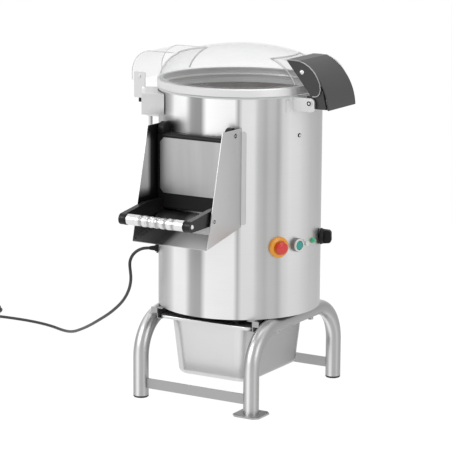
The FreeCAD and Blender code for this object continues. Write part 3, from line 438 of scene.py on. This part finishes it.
grip_metal = finish_recipe("polished aluminium", ribbed_grip, Metallic=0.92)
print("grip metal made")

# %% [markdown]
# ## Plastics, rubber and paint
# Moulded parts have a colour, a light mould grain and sometimes a clear gloss. The grain is noise
# that feeds a Bump and moves the roughness a little, which is enough at the size they are seen.

# %% Moulded family
def moulded(name, colour, roughness, grain=900.0, depth=0.12, spread=0.14, coat=0.0, **fixed):
    def write(recipe):
        fine = recipe.noise(grain, 3.0)
        broad = recipe.noise(14.0, 3.0)
        darker = tuple(c * (1 - spread) for c in colour)
        lighter = tuple(min(1.0, c * (1 + spread)) for c in colour)
        shade = recipe.blend(broad, (*darker, 1), (*lighter, 1))
        return {"Base_Color": shade, "Roughness": roughness - 0.04 + 0.1 * fine,
                "Normal": recipe.bump(fine, depth)}
    return finish_recipe(name, write, Coat_Weight=coat, **fixed)


black_plastic = moulded("black moulding", (0.008, 0.008, 0.009), 0.45, Specular_IOR_Level=0.22)
arm_plastic = moulded("black arm moulding", (0.009, 0.009, 0.01), 0.34, Specular_IOR_Level=0.28)
black_rubber = moulded("black rubber", (0.016, 0.016, 0.016), 0.6, grain=500.0, depth=0.2)
cord_rubber = moulded("cord rubber", (0.03, 0.03, 0.031), 0.45, grain=300.0)
collar_plastic = moulded("orange collar", (1.0, 0.4, 0.02), 0.3, coat=0.4, spread=0.08)
stop_plastic = moulded("red mushroom", (0.8, 0.03, 0.025), 0.25, coat=0.5)
start_plastic = moulded("teal button", (0.01, 0.36, 0.3), 0.3, coat=0.4)
white_plastic = moulded("white button", (0.82, 0.82, 0.8), 0.35, spread=0.04)
base_plastic = moulded("grey button base", (0.2, 0.215, 0.21), 0.4)
lamp_plastic = moulded("green lens", (0.06, 0.55, 0.24), 0.18, coat=0.6)
seal_silicone = moulded("grey silicone", (0.7, 0.71, 0.71), 0.5, spread=0.05)
motor_paint = moulded("motor enamel", (0.05, 0.075, 0.1), 0.4, coat=0.3)
grit_surface = moulded("bonded grit", (0.17, 0.155, 0.14), 0.85, grain=700.0, depth=0.8, spread=0.5)
print("mouldings made")

# %% [markdown]
# ## The hood over the hinge
# The hood is a dark grey moulding. In the photograph its underside is so shaded that it looks
# black, but here the pale floor would light it up. So the way a face looks, up or down, picks
# between the two colours.

# %% Hood
LOOKS_DOWN = (-0.25, -0.45)         # the normal's Z, where black begins and where it is full


def hood_wall(recipe):
    """Grey outside, black on the faces that look down."""
    _, _, z = recipe.coordinates("Normal")
    fine = recipe.noise(1400.0, 3.0)
    broad = recipe.noise(14.0, 3.0)
    outside = recipe.blend(broad, (0.052, 0.052, 0.053, 1), (0.066, 0.066, 0.067, 1))
    shade = recipe.blend(recipe.fade(z, *LOOKS_DOWN), outside, (0.004, 0.004, 0.004, 1))
    return {"Base_Color": shade, "Roughness": 0.34 + 0.1 * fine, "Normal": recipe.bump(fine, 0.12)}


hood_plastic = finish_recipe("grey hood moulding", hood_wall, Specular_IOR_Level=0.3)
print("hood plastic made")

# %% [markdown]
# ## The clear lid
# A thin clear moulding shows mostly its edges: light bends away where the wall is seen side on.
# Real refraction needs many light paths and still looks grey in so thin a wall, so the wall is
# mostly let through, and `Facing` of Layer Weight makes it denser and greyer along its outline.
# The thick beads along its corners are the same plastic, and hide more of what is behind them.

# %% Clear plastic
def clear_wall(recipe):
    side_on = recipe.node("ShaderNodeLayerWeight", inputs={"Blend": 0.32}, output="Facing")
    haze = recipe.noise(18.0, 3.0)
    tint = recipe.blend(side_on, (0.97, 0.98, 0.98, 1), (0.78, 0.8, 0.8, 1))
    return {"Base_Color": tint, "Alpha": 0.04 + 0.42 * side_on ** 2.6 + 0.03 * haze,
            "Roughness": 0.05 + 0.03 * haze}


def bead_wall(recipe):
    side_on = recipe.node("ShaderNodeLayerWeight", inputs={"Blend": 0.4}, output="Facing")
    glint = recipe.noise(60.0, 2.0)
    return {"Base_Color": recipe.blend(side_on, (0.86, 0.87, 0.87, 1), (0.34, 0.35, 0.35, 1)),
            "Alpha": 0.4 + 0.5 * side_on, "Roughness": 0.06 + 0.05 * glint}


clear_plastic = finish_recipe("clear lid plastic", clear_wall, IOR=1.45)
bead_plastic = finish_recipe("clear bead plastic", bead_wall, IOR=1.45)
print("lid plastics made")

# %% [markdown]
# ## Dressing the CAD pieces
# A table says which finish each piece takes. It is read by name, so a piece without a finish stops
# the script at once. Round pieces get smooth shading, split where two faces meet at a real edge.

# %% Finishes by piece
FINISHES = {
    drum_steel: ["drum_shell"],
    tube_steel: ["frame_arch_left", "frame_arch_right"],
    sheet_steel: ["stretcher_front", "stretcher_rear", "foot_plate", "pan_rail_left", "pan_rail_right",
                  "deck_plate", "drain_spout"],
    bracket_steel: ["latch_plate", "hinge_brackets", "switch_box", "switch_conduit"],
    chute_steel: ["chute_plate_right"],
    chute_floor_steel: ["chute_floor"],
    left_plate_steel: ["chute_plate_left"],
    face_steel: ["door_plate"],
    pan_steel: ["gn_pan"],
    rim_steel: ["lid_rim"],
    polished_steel: ["chute_pins", "hinge_pin", "grip_rod", "hood_screws", "drive_shaft", "motor_shaft",
                     "shaft_bearings", "water_inlet"],
    zinc_steel: ["frame_bolts", "motor_mount"],
    grip_metal: ["handle_grip"],
    cast_metal: ["bearing_housing", "driven_pulley", "motor_pulley"],
    black_plastic: ["door_body", "grip_caps", "timer_knob", "base_plate", "switch_head", "cable_gland",
                    "cord_plug"],
    arm_plastic: ["handle_arms"],
    black_rubber: ["rubber_feet", "door_seal", "shaft_seal", "drive_belt"],
    hood_plastic: ["lid_hood"],
    seal_silicone: ["drum_rim_seal"],
    clear_plastic: ["lid_shell"],
    collar_plastic: ["estop_collar"],
    stop_plastic: ["estop_button"],
    start_plastic: ["start_button"],
    base_plastic: ["start_bezel"],
    white_plastic: ["reset_button"],
    lamp_plastic: ["green_lamp"],
    motor_paint: ["motor_body"],
    grit_surface: ["peeling_disc", "abrasive_liner"],
    cord_rubber: ["supply_cord", "cord_coil"],
}
print("finishes in use", len(FINISHES))

# %% Dress the pieces
SMOOTH_UNDER = math.radians(32)


def dress(piece, material):
    piece.data.materials.clear()
    piece.data.materials.append(material)
    piece.data.shade_smooth()
    piece.data.set_sharp_from_angle(angle=SMOOTH_UNDER)


finish_of = {name: material for material, names in FINISHES.items() for name in names}
for name, piece in nodes.items():
    dress(piece, finish_of[name])
print("dressed", len(nodes))

# %% [markdown]
# ## Building small pieces
# Screws, rings and knuckles are turned on a lathe, so `turned` spins an outline about an axis. It
# works on every outline, from a solid with a point in its middle to a ring that closes on itself.
# `keep` makes the object, gives it a finish and lets it ride on a body of the machine.

# %% Mesh helpers
def keep(name, mesh, material, body):
    """Turns a bmesh into a piece of the scene."""
    bmesh.ops.recalc_face_normals(mesh, faces=mesh.faces)
    data = bpy.data.meshes.new(name)
    mesh.to_mesh(data)
    mesh.free()
    piece = bpy.data.objects.new(name, data)
    bpy.context.scene.collection.objects.link(piece)
    dress(piece, material)
    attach(piece, body)
    return piece


def ring_of(mesh, radius, height, steps):
    """Points of a circle given in millimetres, or one point where the radius is 0."""
    if radius == 0:
        return [mesh.verts.new((0, 0, height / 1000))]
    angles = [2 * math.pi * k / steps for k in range(steps)]
    return [mesh.verts.new((radius / 1000 * math.cos(a), radius / 1000 * math.sin(a), height / 1000))
            for a in angles]


def turned(outline, centre, out, steps, loop=False):
    """Spins an outline of (radius, height) in millimetres about a line from centre towards out."""
    mesh = bmesh.new()
    rings = [ring_of(mesh, radius, height, steps) for radius, height in outline]
    for lower, upper in zip(rings, rings[1:] + rings[:1] if loop else rings[1:]):
        for k in range(steps):
            corners = [lower[k % len(lower)], lower[(k + 1) % steps % len(lower)],
                       upper[(k + 1) % steps % len(upper)], upper[k % len(upper)]]
            corners = list(dict.fromkeys(corners))
            if len(corners) > 2:
                mesh.faces.new(corners)
    for ring in (rings[0], rings[-1]):
        if len(ring) > 1 and not loop:
            mesh.faces.new(ring)
    turn = Vector((0, 0, 1)).rotation_difference(out).to_matrix().to_4x4()
    mesh.transform(Matrix.Translation(centre) @ turn)
    return mesh


print("mesh helpers ready")

# %% [markdown]
# ## A round line
# Beads and the cord are the same thing at two sizes: a round section drawn along a line. A curve
# with a bevel makes that from the points alone, and stays easy to change.

# %% Round line
def round_line(name, kind, points, radius, material, roundness):
    """A curve object with a round section. Kind is POLY for straight runs or NURBS for smooth ones."""
    line = bpy.data.curves.new(name, "CURVE")
    line.dimensions = "3D"
    line.bevel_depth = radius
    line.bevel_resolution = roundness
    line.use_fill_caps = True
    path = line.splines.new(kind)
    path.points.add(len(points) - 1)
    for point, place in zip(path.points, points):
        point.co = (*place, 1)
    line.materials.append(material)
    piece = bpy.data.objects.new(name, line)
    bpy.context.scene.collection.objects.link(piece)
    return piece


def bead(name, points, radius):
    """A clear bead on the lid, in millimetres from the drum's axis."""
    piece = round_line(name, "POLY", [from_axis(*point) for point in points], radius / 1000, bead_plastic, 3)
    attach(piece, "lid")
    return piece


print("round line ready")

# %% [markdown]
# ## Clear beads on the lid
# Where each clear box grows out of the dome, the moulding is thick and catches the light as a line.
# The line follows the dome's own outline at the box's width, so it is worked out from the circle
# that the dome's shoulder is turned from.

# %% The dome's shoulder
def circle_through(first, second, third):
    """Centre and radius of the circle through three points."""
    (ax, ay), (bx, by), (cx, cy) = first, second, third
    a, b, c = ax * ax + ay * ay, bx * bx + by * by, cx * cx + cy * cy
    d = 2 * (ax * (by - cy) + bx * (cy - ay) + cx * (ay - by))
    x = (a * (by - cy) + b * (cy - ay) + c * (ay - by)) / d
    y = (a * (cx - bx) + b * (ax - cx) + c * (bx - ax)) / d
    return x, y, math.hypot(ax - x, ay - y)


SHOULDER = circle_through((202, 777), (182, 812), (130, 843.5))     # points of (radius, height)


def dome_radius(height):
    x, y, radius = SHOULDER
    return x + math.sqrt(max(0.0, radius ** 2 - (height - y) ** 2))


print("shoulder radius", round(SHOULDER[2], 1), "mm")

# %% Beads
EAR_HALF = 68.0                     # half the width of each clear box
BEAD_FOOT = 781                     # the height at which the beads begin
BEAD_OUT = 0.3                      # how far a bead's middle stands off the wall
CLIMB_STEPS, TOP_STEPS = 14, 10
BEAD_R = 2.1


def ear_line(side, top):
    """Up the dome at the box's front wall, across its top and down at the back wall."""
    rise = [BEAD_FOOT + (top - BEAD_FOOT) * k / CLIMB_STEPS for k in range(CLIMB_STEPS + 1)]
    climb = [(math.sqrt(dome_radius(z) ** 2 - EAR_HALF ** 2), z) for z in rise]
    reach = dome_radius(top)
    spread = math.asin(EAR_HALF / reach)
    front = [(side * x, -EAR_HALF - BEAD_OUT, z) for x, z in climb]
    turns = [spread * k / TOP_STEPS for k in range(1 - TOP_STEPS, TOP_STEPS)]
    over = [(side * reach * math.cos(turn), reach * math.sin(turn), top + BEAD_OUT) for turn in turns]
    back = [(x, -y, z) for x, y, z in reversed(front)]
    return front + over + back


for label, side, top in (("left", -1, 834.2), ("right", 1, 840.2)):
    made = bead("lid_bead_" + label, ear_line(side, top), BEAD_R)
    print(made.name, len(made.data.splines[0].points), "points")

# %% [markdown]
# ## Edges of the left box
# The box over the safety switch is thin and clear, so only its rounded edge shows against a pale
# wall. The edge is an arc and two straight runs, sampled finely enough to look smooth.

# %% Left box edges
def arc_points(first, second, third, steps=12):
    """Points of the arc from first through second to third, the short way round."""
    x, z, radius = circle_through(first, second, third)
    start, end = (math.atan2(point[1] - z, point[0] - x) for point in (first, third))
    sweep = (end - start + math.pi) % (2 * math.pi) - math.pi
    turns = [start + sweep * k / steps for k in range(steps + 1)]
    return [(x + radius * math.cos(turn), z + radius * math.sin(turn)) for turn in turns]


BOX_SIDE, BOX_TOP = -270.6, 834.6
BOX_CORNER = arc_points((BOX_SIDE, 776), (-257.2, 815.7), (-222, BOX_TOP))
BOX_EDGE = [(BOX_SIDE, 760)] + BOX_CORNER + [(-150, BOX_TOP)]
EDGE_OUT, EDGE_R = 0.1, 1.1
for label, y in (("front", -EAR_HALF - EDGE_OUT), ("back", EAR_HALF + EDGE_OUT)):
    bead("switch_box_edge_" + label, [(x, y, z) for x, z in BOX_EDGE], EDGE_R)
print("left box edge", len(BOX_EDGE), "points")

# %% [markdown]
# ## Edge of the hood's cheeks
# The dark cheek sits in a clear rim that runs round its curve. It is the same round line, along the
# cheek's outline, once in front and once at the back.

# %% Cheek rims
CHEEK = [(160, 840), (172, 840.6), (186, 840.6), (200, 839.6), (214, 835), (228, 827), (240, 816),
         (249, 803), (255.5, 789), (257.5, 776), (255, 765), (250, 760), (244, 758), (236, 757.5)]
CHEEK_OUT, CHEEK_R = 0.9, 1.3
for label, y in (("front", -EAR_HALF - CHEEK_OUT), ("back", EAR_HALF + CHEEK_OUT)):
    bead("cheek_rim_" + label, [(x, y, z) for x, z in CHEEK], CHEEK_R)
print("cheek rims", len(CHEEK), "points each")

# %% [markdown]
# ## Sockets in the pins
# The pins of the door, of its pegs and of the lid's hinge end in a head with a hexagon socket. The
# CAD has the plain heads. A dark raised collar with a bright hexagon floor on each head is enough
# to read as a socket, and no cut into the solid is needed.

# %% Pin sockets
socket_black = moulded("socket shadow", (0.01, 0.01, 0.01), 0.7, Specular_IOR_Level=0.1)
LEFT, RIGHT, FRONT, BACK = Vector((-1, 0, 0)), Vector((1, 0, 0)), Vector((0, -1, 0)), Vector((0, 1, 0))
DOOR_PIN_X, DOOR_PIN_Y, DOOR_PIN_Z = 105.8, -203.0, 670.5
PEG_X, PEG_Y, PEG_Z = 105.4, -296.0, 480.5
HINGE_X, HINGE_Y, HINGE_Z = 232.0, 77.9, 742.0
COLLAR_STEPS, HEXAGON = 18, 6


def pin_socket(name, place, out, size):
    """Raised collar with a hexagon hollow, on a pin's flat head."""
    centre = from_axis(*place)
    collar = [(size, 0), (size, 0.5), (size * 0.86, 0.8), (size * 0.55, 0.8), (size * 0.5, 0.25), (0, 0.25)]
    keep(name, turned(collar, centre, out, COLLAR_STEPS), socket_black, "machine")
    floor = [(size * 0.55, 0.26), (size * 0.55, 0.5), (0, 0.5)]
    keep(name + "_core", turned(floor, centre, out, HEXAGON), polished_steel, "machine")


for label, side, out in (("left", -1, LEFT), ("right", 1, RIGHT)):
    pin_socket("door_pin_socket_" + label, (side * DOOR_PIN_X, DOOR_PIN_Y, DOOR_PIN_Z), out, 5.2)
    pin_socket("peg_socket_" + label, (side * PEG_X, PEG_Y, PEG_Z), out, 4.6)
for label, side, out in (("front", -1, FRONT), ("back", 1, BACK)):
    pin_socket("hinge_socket_" + label, (HINGE_X, side * HINGE_Y, HINGE_Z), out, 5.6)
print("pin sockets made")

# %% [markdown]
# ## The screw on the drum and the start button's ring
# One domed screw sits alone on the drum's side, in a dark washer, and the start button has a round
# white ring. Each is a short outline turned about a line that points straight out of the drum.

# %% Drum screw and start ring
SCREW_DEG, SCREW_Z = -14.9, 0.6595
START_DEG, CONTROL_Z = -17.0, 0.394
SCREW_STEPS, RING_STEPS = 24, 40

screw_spot = drum_point(SCREW_DEG, DRUM_R, SCREW_Z)
dome = [(3.2, -1.5), (3.2, 1.6), (2.8, 2.4), (1.6, 2.9), (1.2, 2.9), (1.1, 2.2), (0, 2.2)]
keep("drum_screw", turned(dome, screw_spot, heading(SCREW_DEG), SCREW_STEPS), polished_steel, "machine")
washer = [(5.0, -1.5), (5.0, 0.7), (4.6, 1.1), (3.1, 1.1), (3.1, 0.2), (0, 0.2)]
keep("drum_screw_seat", turned(washer, screw_spot, heading(SCREW_DEG), SCREW_STEPS), socket_black, "machine")

start_spot = drum_point(START_DEG, DRUM_R, CONTROL_Z)
ring = [(12.6, 9.6), (15.1, 9.6), (15.5, 10.6), (15.2, 12.6), (14.2, 13.8), (12.4, 14.2), (11.3, 13.4),
        (11.6, 11)]
start_ring = keep("start_ring", turned(ring, start_spot, heading(START_DEG), RING_STEPS, loop=True),
                  white_plastic, "machine")
print("start ring", len(start_ring.data.polygons), "faces")

# %% [markdown]
# ## The door's knuckles
# The door's hinge bar ends in a round black knuckle at each chute plate. It turns with the door, so
# it rides on the door's body, about the same pins as above.

# %% Knuckles
KNUCKLE_STARTS = 84.0
BARREL = [(17.3, 0), (18.5, 1.2), (18.5, 14.6), (17.3, 15.8), (9, 15.8), (8.2, 15.0), (0, 15.0)]
BARREL_STEPS = 40
for label, side, out in (("left", -1, LEFT), ("right", 1, RIGHT)):
    start = from_axis(side * KNUCKLE_STARTS, DOOR_PIN_Y, DOOR_PIN_Z)
    keep("door_knuckle_" + label, turned(BARREL, start, out, BARREL_STEPS), black_plastic, "door")
print("knuckles made")

# %% [markdown]
# ## Sheet against the drum
# The right plate is spot welded to the drum through a narrow flange, and the lid switch sits in a
# pressed cover whose back follows the drum. Neither is turned or pushed straight, so each is built
# from sections of four corners, one after another, joined by faces.

# %% Weld flange
def joined(name, sections, material):
    """A closed solid through sections of four corners each."""
    mesh = bmesh.new()
    stacks = [[mesh.verts.new(corner) for corner in section] for section in sections]
    for one, two in zip(stacks, stacks[1:]):
        for k in range(4):
            mesh.faces.new((one[k], one[(k + 1) % 4], two[(k + 1) % 4], two[k]))
    for stack in (stacks[0], stacks[-1]):
        mesh.faces.new(stack)
    return keep(name, mesh, material, "machine")


FLANGE_X, FLANGE_THICK = 104.2, 1.4
FLANGE_HUGS = 200.1                 # a hair outside the drum's own radius
FLANGE_WIDTHS = ((452, 6.0), (455, 9.0), (560, 9.0), (672, 9.0), (676, 6.5))


def flange_section(z, width):
    inner, outer = FLANGE_X, FLANGE_X + width
    corners = ((inner, 0), (outer, 0), (outer, FLANGE_THICK), (inner, FLANGE_THICK))
    return [from_axis(x, -math.sqrt((FLANGE_HUGS + lift) ** 2 - x * x), z) for x, lift in corners]


flange = joined("chute_flange", [flange_section(z, width) for z, width in FLANGE_WIDTHS], chute_steel)
print("flange", len(flange.data.polygons), "faces")

# %% Switch cover
COVER_DEG, COVER_BACK, COVER_FACE = 212.0, 202.0, 241.0
COVER_LOW, COVER_HIGH = 697, 748.5
COVER_ROUNDING = ((-50, 3.0), (-49, 1.2), (-46, 0.3), (-30, 0.0), (-10, 0.0), (10, 0.0), (30, 0.0),
                  (50, 0.0), (70, 0.0), (75, 0.3), (77.4, 1.2), (78, 3.0))
cover_out = heading(COVER_DEG)
cover_along = Vector((-cover_out.y, cover_out.x, 0))


def cover_section(along, inset):
    """One upright section, its edges drawn in by the inset so that the cover's ends are rounded."""
    back, face = math.sqrt(COVER_BACK ** 2 - along * along), COVER_FACE - inset
    low, high = COVER_LOW + inset, COVER_HIGH - inset
    corners = ((back, low), (face, low), (face, high), (back, high))
    return [from_axis(*(cover_out * reach + cover_along * along).xy, z) for reach, z in corners]


cover_sections = [cover_section(along, inset) for along, inset in COVER_ROUNDING]
cover = joined("switch_cover", cover_sections, bracket_steel)
print("switch cover", len(cover.data.polygons), "faces")

# %% [markdown]
# ## The supply cord
# A mains lead is a fixed length of rubber hose with copper inside: it leaves its gland straight,
# bends down under its own weight and runs out along the floor. A NURBS curve with few points gives
# that calm line. The spare length is wound in a coil of nearly three turns outside the picture, two
# side by side and one on top, and ends in its plug.

# %% Free run
CORD_R = 0.0039
GLAND_DEG, GLAND_OUT, GLAND_Z = 212.0, 0.222, 0.353
exit_point = drum_point(GLAND_DEG, GLAND_OUT, GLAND_Z)
free_run = [
    (-197.6, -123.5, 353), (-206.9, -128.7, 350.3), (-215.6, -132.9, 345.1), (-223.2, -135.9, 337.7),
    (-229.1, -137.5, 328.6), (-233.1, -137.6, 318.3), (-234.8, -136.2, 307.5), (-236.2, -131.5, 293),
    (-242, -119, 271), (-254, -105, 246), (-272, -90, 221), (-298, -73, 194), (-332, -53, 168),
    (-370, -30, 143), (-420, 3, 115), (-482, 52, 82), (-550, 110, 50), (-616, 168, 22),
    (-682, 222, 5.2), (-746, 254, 4.1), (-814, 268, 4.1), (-884, 270, 4.1), (-950, 264, 4.1)]
print("free run", len(free_run), "points")

# %% Coil
COIL_X, COIL_Y = -1010.0, 305.0
COIL_TURNS, PER_TURN = 2.86, 16
COIL_START = math.radians(-90)
CUT_IN = (3 + math.cos(2 * math.pi / PER_TURN)) / 4     # a smooth line runs inside its points
COIL_RADII = [(0, 43.5), (0.12, 47), (0.86, 47), (1.14, 39), (1.8, 39), (2.1, 43), (3, 43)]
COIL_HEIGHTS = [(0, 4.1), (1.75, 4.1), (2.05, 11.2), (2.62, 11.4), (2.92, 15.5), (3, 16)]


def eased(stops, turns):
    """A value that goes smoothly from one stop of (turns, value) to the next."""
    for (start, first), (end, second) in zip(stops, stops[1:]):
        if turns <= end:
            share = (turns - start) / (end - start)
            return first + (second - first) * share * share * (3 - 2 * share)


def coil_point(turns):
    """Radius and height change slowly with the number of turns made, so that the turns lie neatly."""
    angle = COIL_START - 2 * math.pi * turns
    reach = eased(COIL_RADII, turns) / CUT_IN
    return (COIL_X + reach * math.cos(angle), COIL_Y + reach * math.sin(angle), eased(COIL_HEIGHTS, turns))


coil_steps = int(COIL_TURNS * PER_TURN)
coil_run = [coil_point(COIL_TURNS * k / coil_steps) for k in range(coil_steps + 1)]
print("coil", len(coil_run), "points")

# %% Into the plug
PLUG_BACK = (COIL_X + 3.4, COIL_Y - 50.7, 19.2)
PLUG_DEG = 216.0
STRAIGHT, BEFORE_PLUG_Z = 11, 18.4
ahead = heading(PLUG_DEG)
before_plug = (PLUG_BACK[0] - STRAIGHT * ahead.x, PLUG_BACK[1] - STRAIGHT * ahead.y, BEFORE_PLUG_Z)
route = [exit_point] + [from_axis(*point) for point in free_run + coil_run + [before_plug, PLUG_BACK]]
print("cord points", len(route))

# %% Cord curve
lead = round_line("supply_lead", "NURBS", route, CORD_R, cord_rubber, 4)
lead.data.resolution_u = 8
lead.data.splines[0].order_u = 3
lead.data.splines[0].use_endpoint_u = True
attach(lead, "machine")
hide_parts("supply_cord", "cord_coil")

# %% [markdown]
# ## Floor and daylight
# The photograph stands on pure white. The floor is mostly its own white to the camera and in
# reflections, with a share of plain diffuse left in so that the legs keep a soft shadow. Behind it,
# the world is white to the camera and through glass, a little less so in reflections, and dimmer as
# light on the object.

# %% Floor
FLOOR_HALF, FLOOR_Z = 24.0, -0.0003
OWN_WHITE, GLOW = 0.9, 1.07


def emptied(owner):
    """A recipe on the owner's tree without the nodes that Blender puts there."""
    owner.use_nodes = True
    for old in list(owner.node_tree.nodes):
        owner.node_tree.nodes.remove(old)
    return Recipe(owner.node_tree)


floor_mesh = bpy.data.meshes.new("studio_floor")
corners = [(x * FLOOR_HALF, y * FLOOR_HALF, FLOOR_Z) for x, y in ((-1, -1), (1, -1), (1, 1), (-1, 1))]
floor_mesh.from_pydata(corners, [], [(0, 1, 2, 3)])
studio_floor = bpy.data.objects.new("studio_floor", floor_mesh)
bpy.context.scene.collection.objects.link(studio_floor)

paper = bpy.data.materials.new("studio paper")
paper_recipe = emptied(paper)
plain = paper_recipe.node("ShaderNodeBsdfDiffuse", {}, {"Color": (0.85, 0.85, 0.85, 1)})
glow = paper_recipe.node("ShaderNodeEmission", {}, {"Color": (1, 1, 1, 1), "Strength": GLOW})
share = paper_recipe.rays("Is Camera Ray")
for kind in ("Is Glossy Ray", "Is Transmission Ray"):
    share = share.largest(paper_recipe.rays(kind))
mixed = paper_recipe.node("ShaderNodeMixShader", {}, {0: share * OWN_WHITE, 1: plain, 2: glow})
paper_recipe.end_with("ShaderNodeOutputMaterial", mixed)
studio_floor.data.materials.append(paper)
print("floor", 2 * FLOOR_HALF, "m wide")

# %% Sky
AMBIENT, MIRRORED = 0.5, 0.86
world = bpy.data.worlds.new("studio")
bpy.context.scene.world = world
sky = emptied(world)
seen_directly = (1 - AMBIENT) * sky.rays("Is Camera Ray")
seen_mirrored = (MIRRORED - AMBIENT) * sky.rays("Is Glossy Ray")
seen_through = (1 - AMBIENT) * sky.rays("Is Transmission Ray")
strength = AMBIENT + seen_directly + seen_mirrored + seen_through
background = sky.node("ShaderNodeBackground", {}, {"Color": (1, 1, 1, 1), "Strength": strength})
sky.end_with("ShaderNodeOutputWorld", background)
print("sky set")

# %% [markdown]
# ## Lamps
# Three large soft lamps do what a product studio does: a key from the upper left, a weaker one from
# the right and one from above. They are big, so that their edges stay soft on the steel.

# %% Lamps
LIT_POINT = Vector((0, 0, 0.45))


def soft_lamp(name, place, watts, size):
    data = bpy.data.lights.new(name, "AREA")
    data.energy, data.shape = watts, "RECTANGLE"
    data.size, data.size_y = size
    lamp = bpy.data.objects.new(name, data)
    bpy.context.scene.collection.objects.link(lamp)
    lamp.location = place
    lamp.rotation_mode = "QUATERNION"
    lamp.rotation_quaternion = (LIT_POINT - Vector(place)).to_track_quat("-Z", "Y")
    return lamp


for lamp in (soft_lamp("key", (-1.6, -2.6, 2.2), 36, (1.2, 1.6)),
             soft_lamp("fill", (2.8, -1.0, 1.5), 13, (1.4, 1.8)),
             soft_lamp("top", (0.2, 0.3, 3.0), 22, (2.0, 2.0))):
    print(lamp.name, lamp.data.energy, "W")

# %% [markdown]
# ## The view transform
# The Standard view shows colours about as they are written.

# %% Finish
view = bpy.context.scene.view_settings
view.view_transform = "Standard"
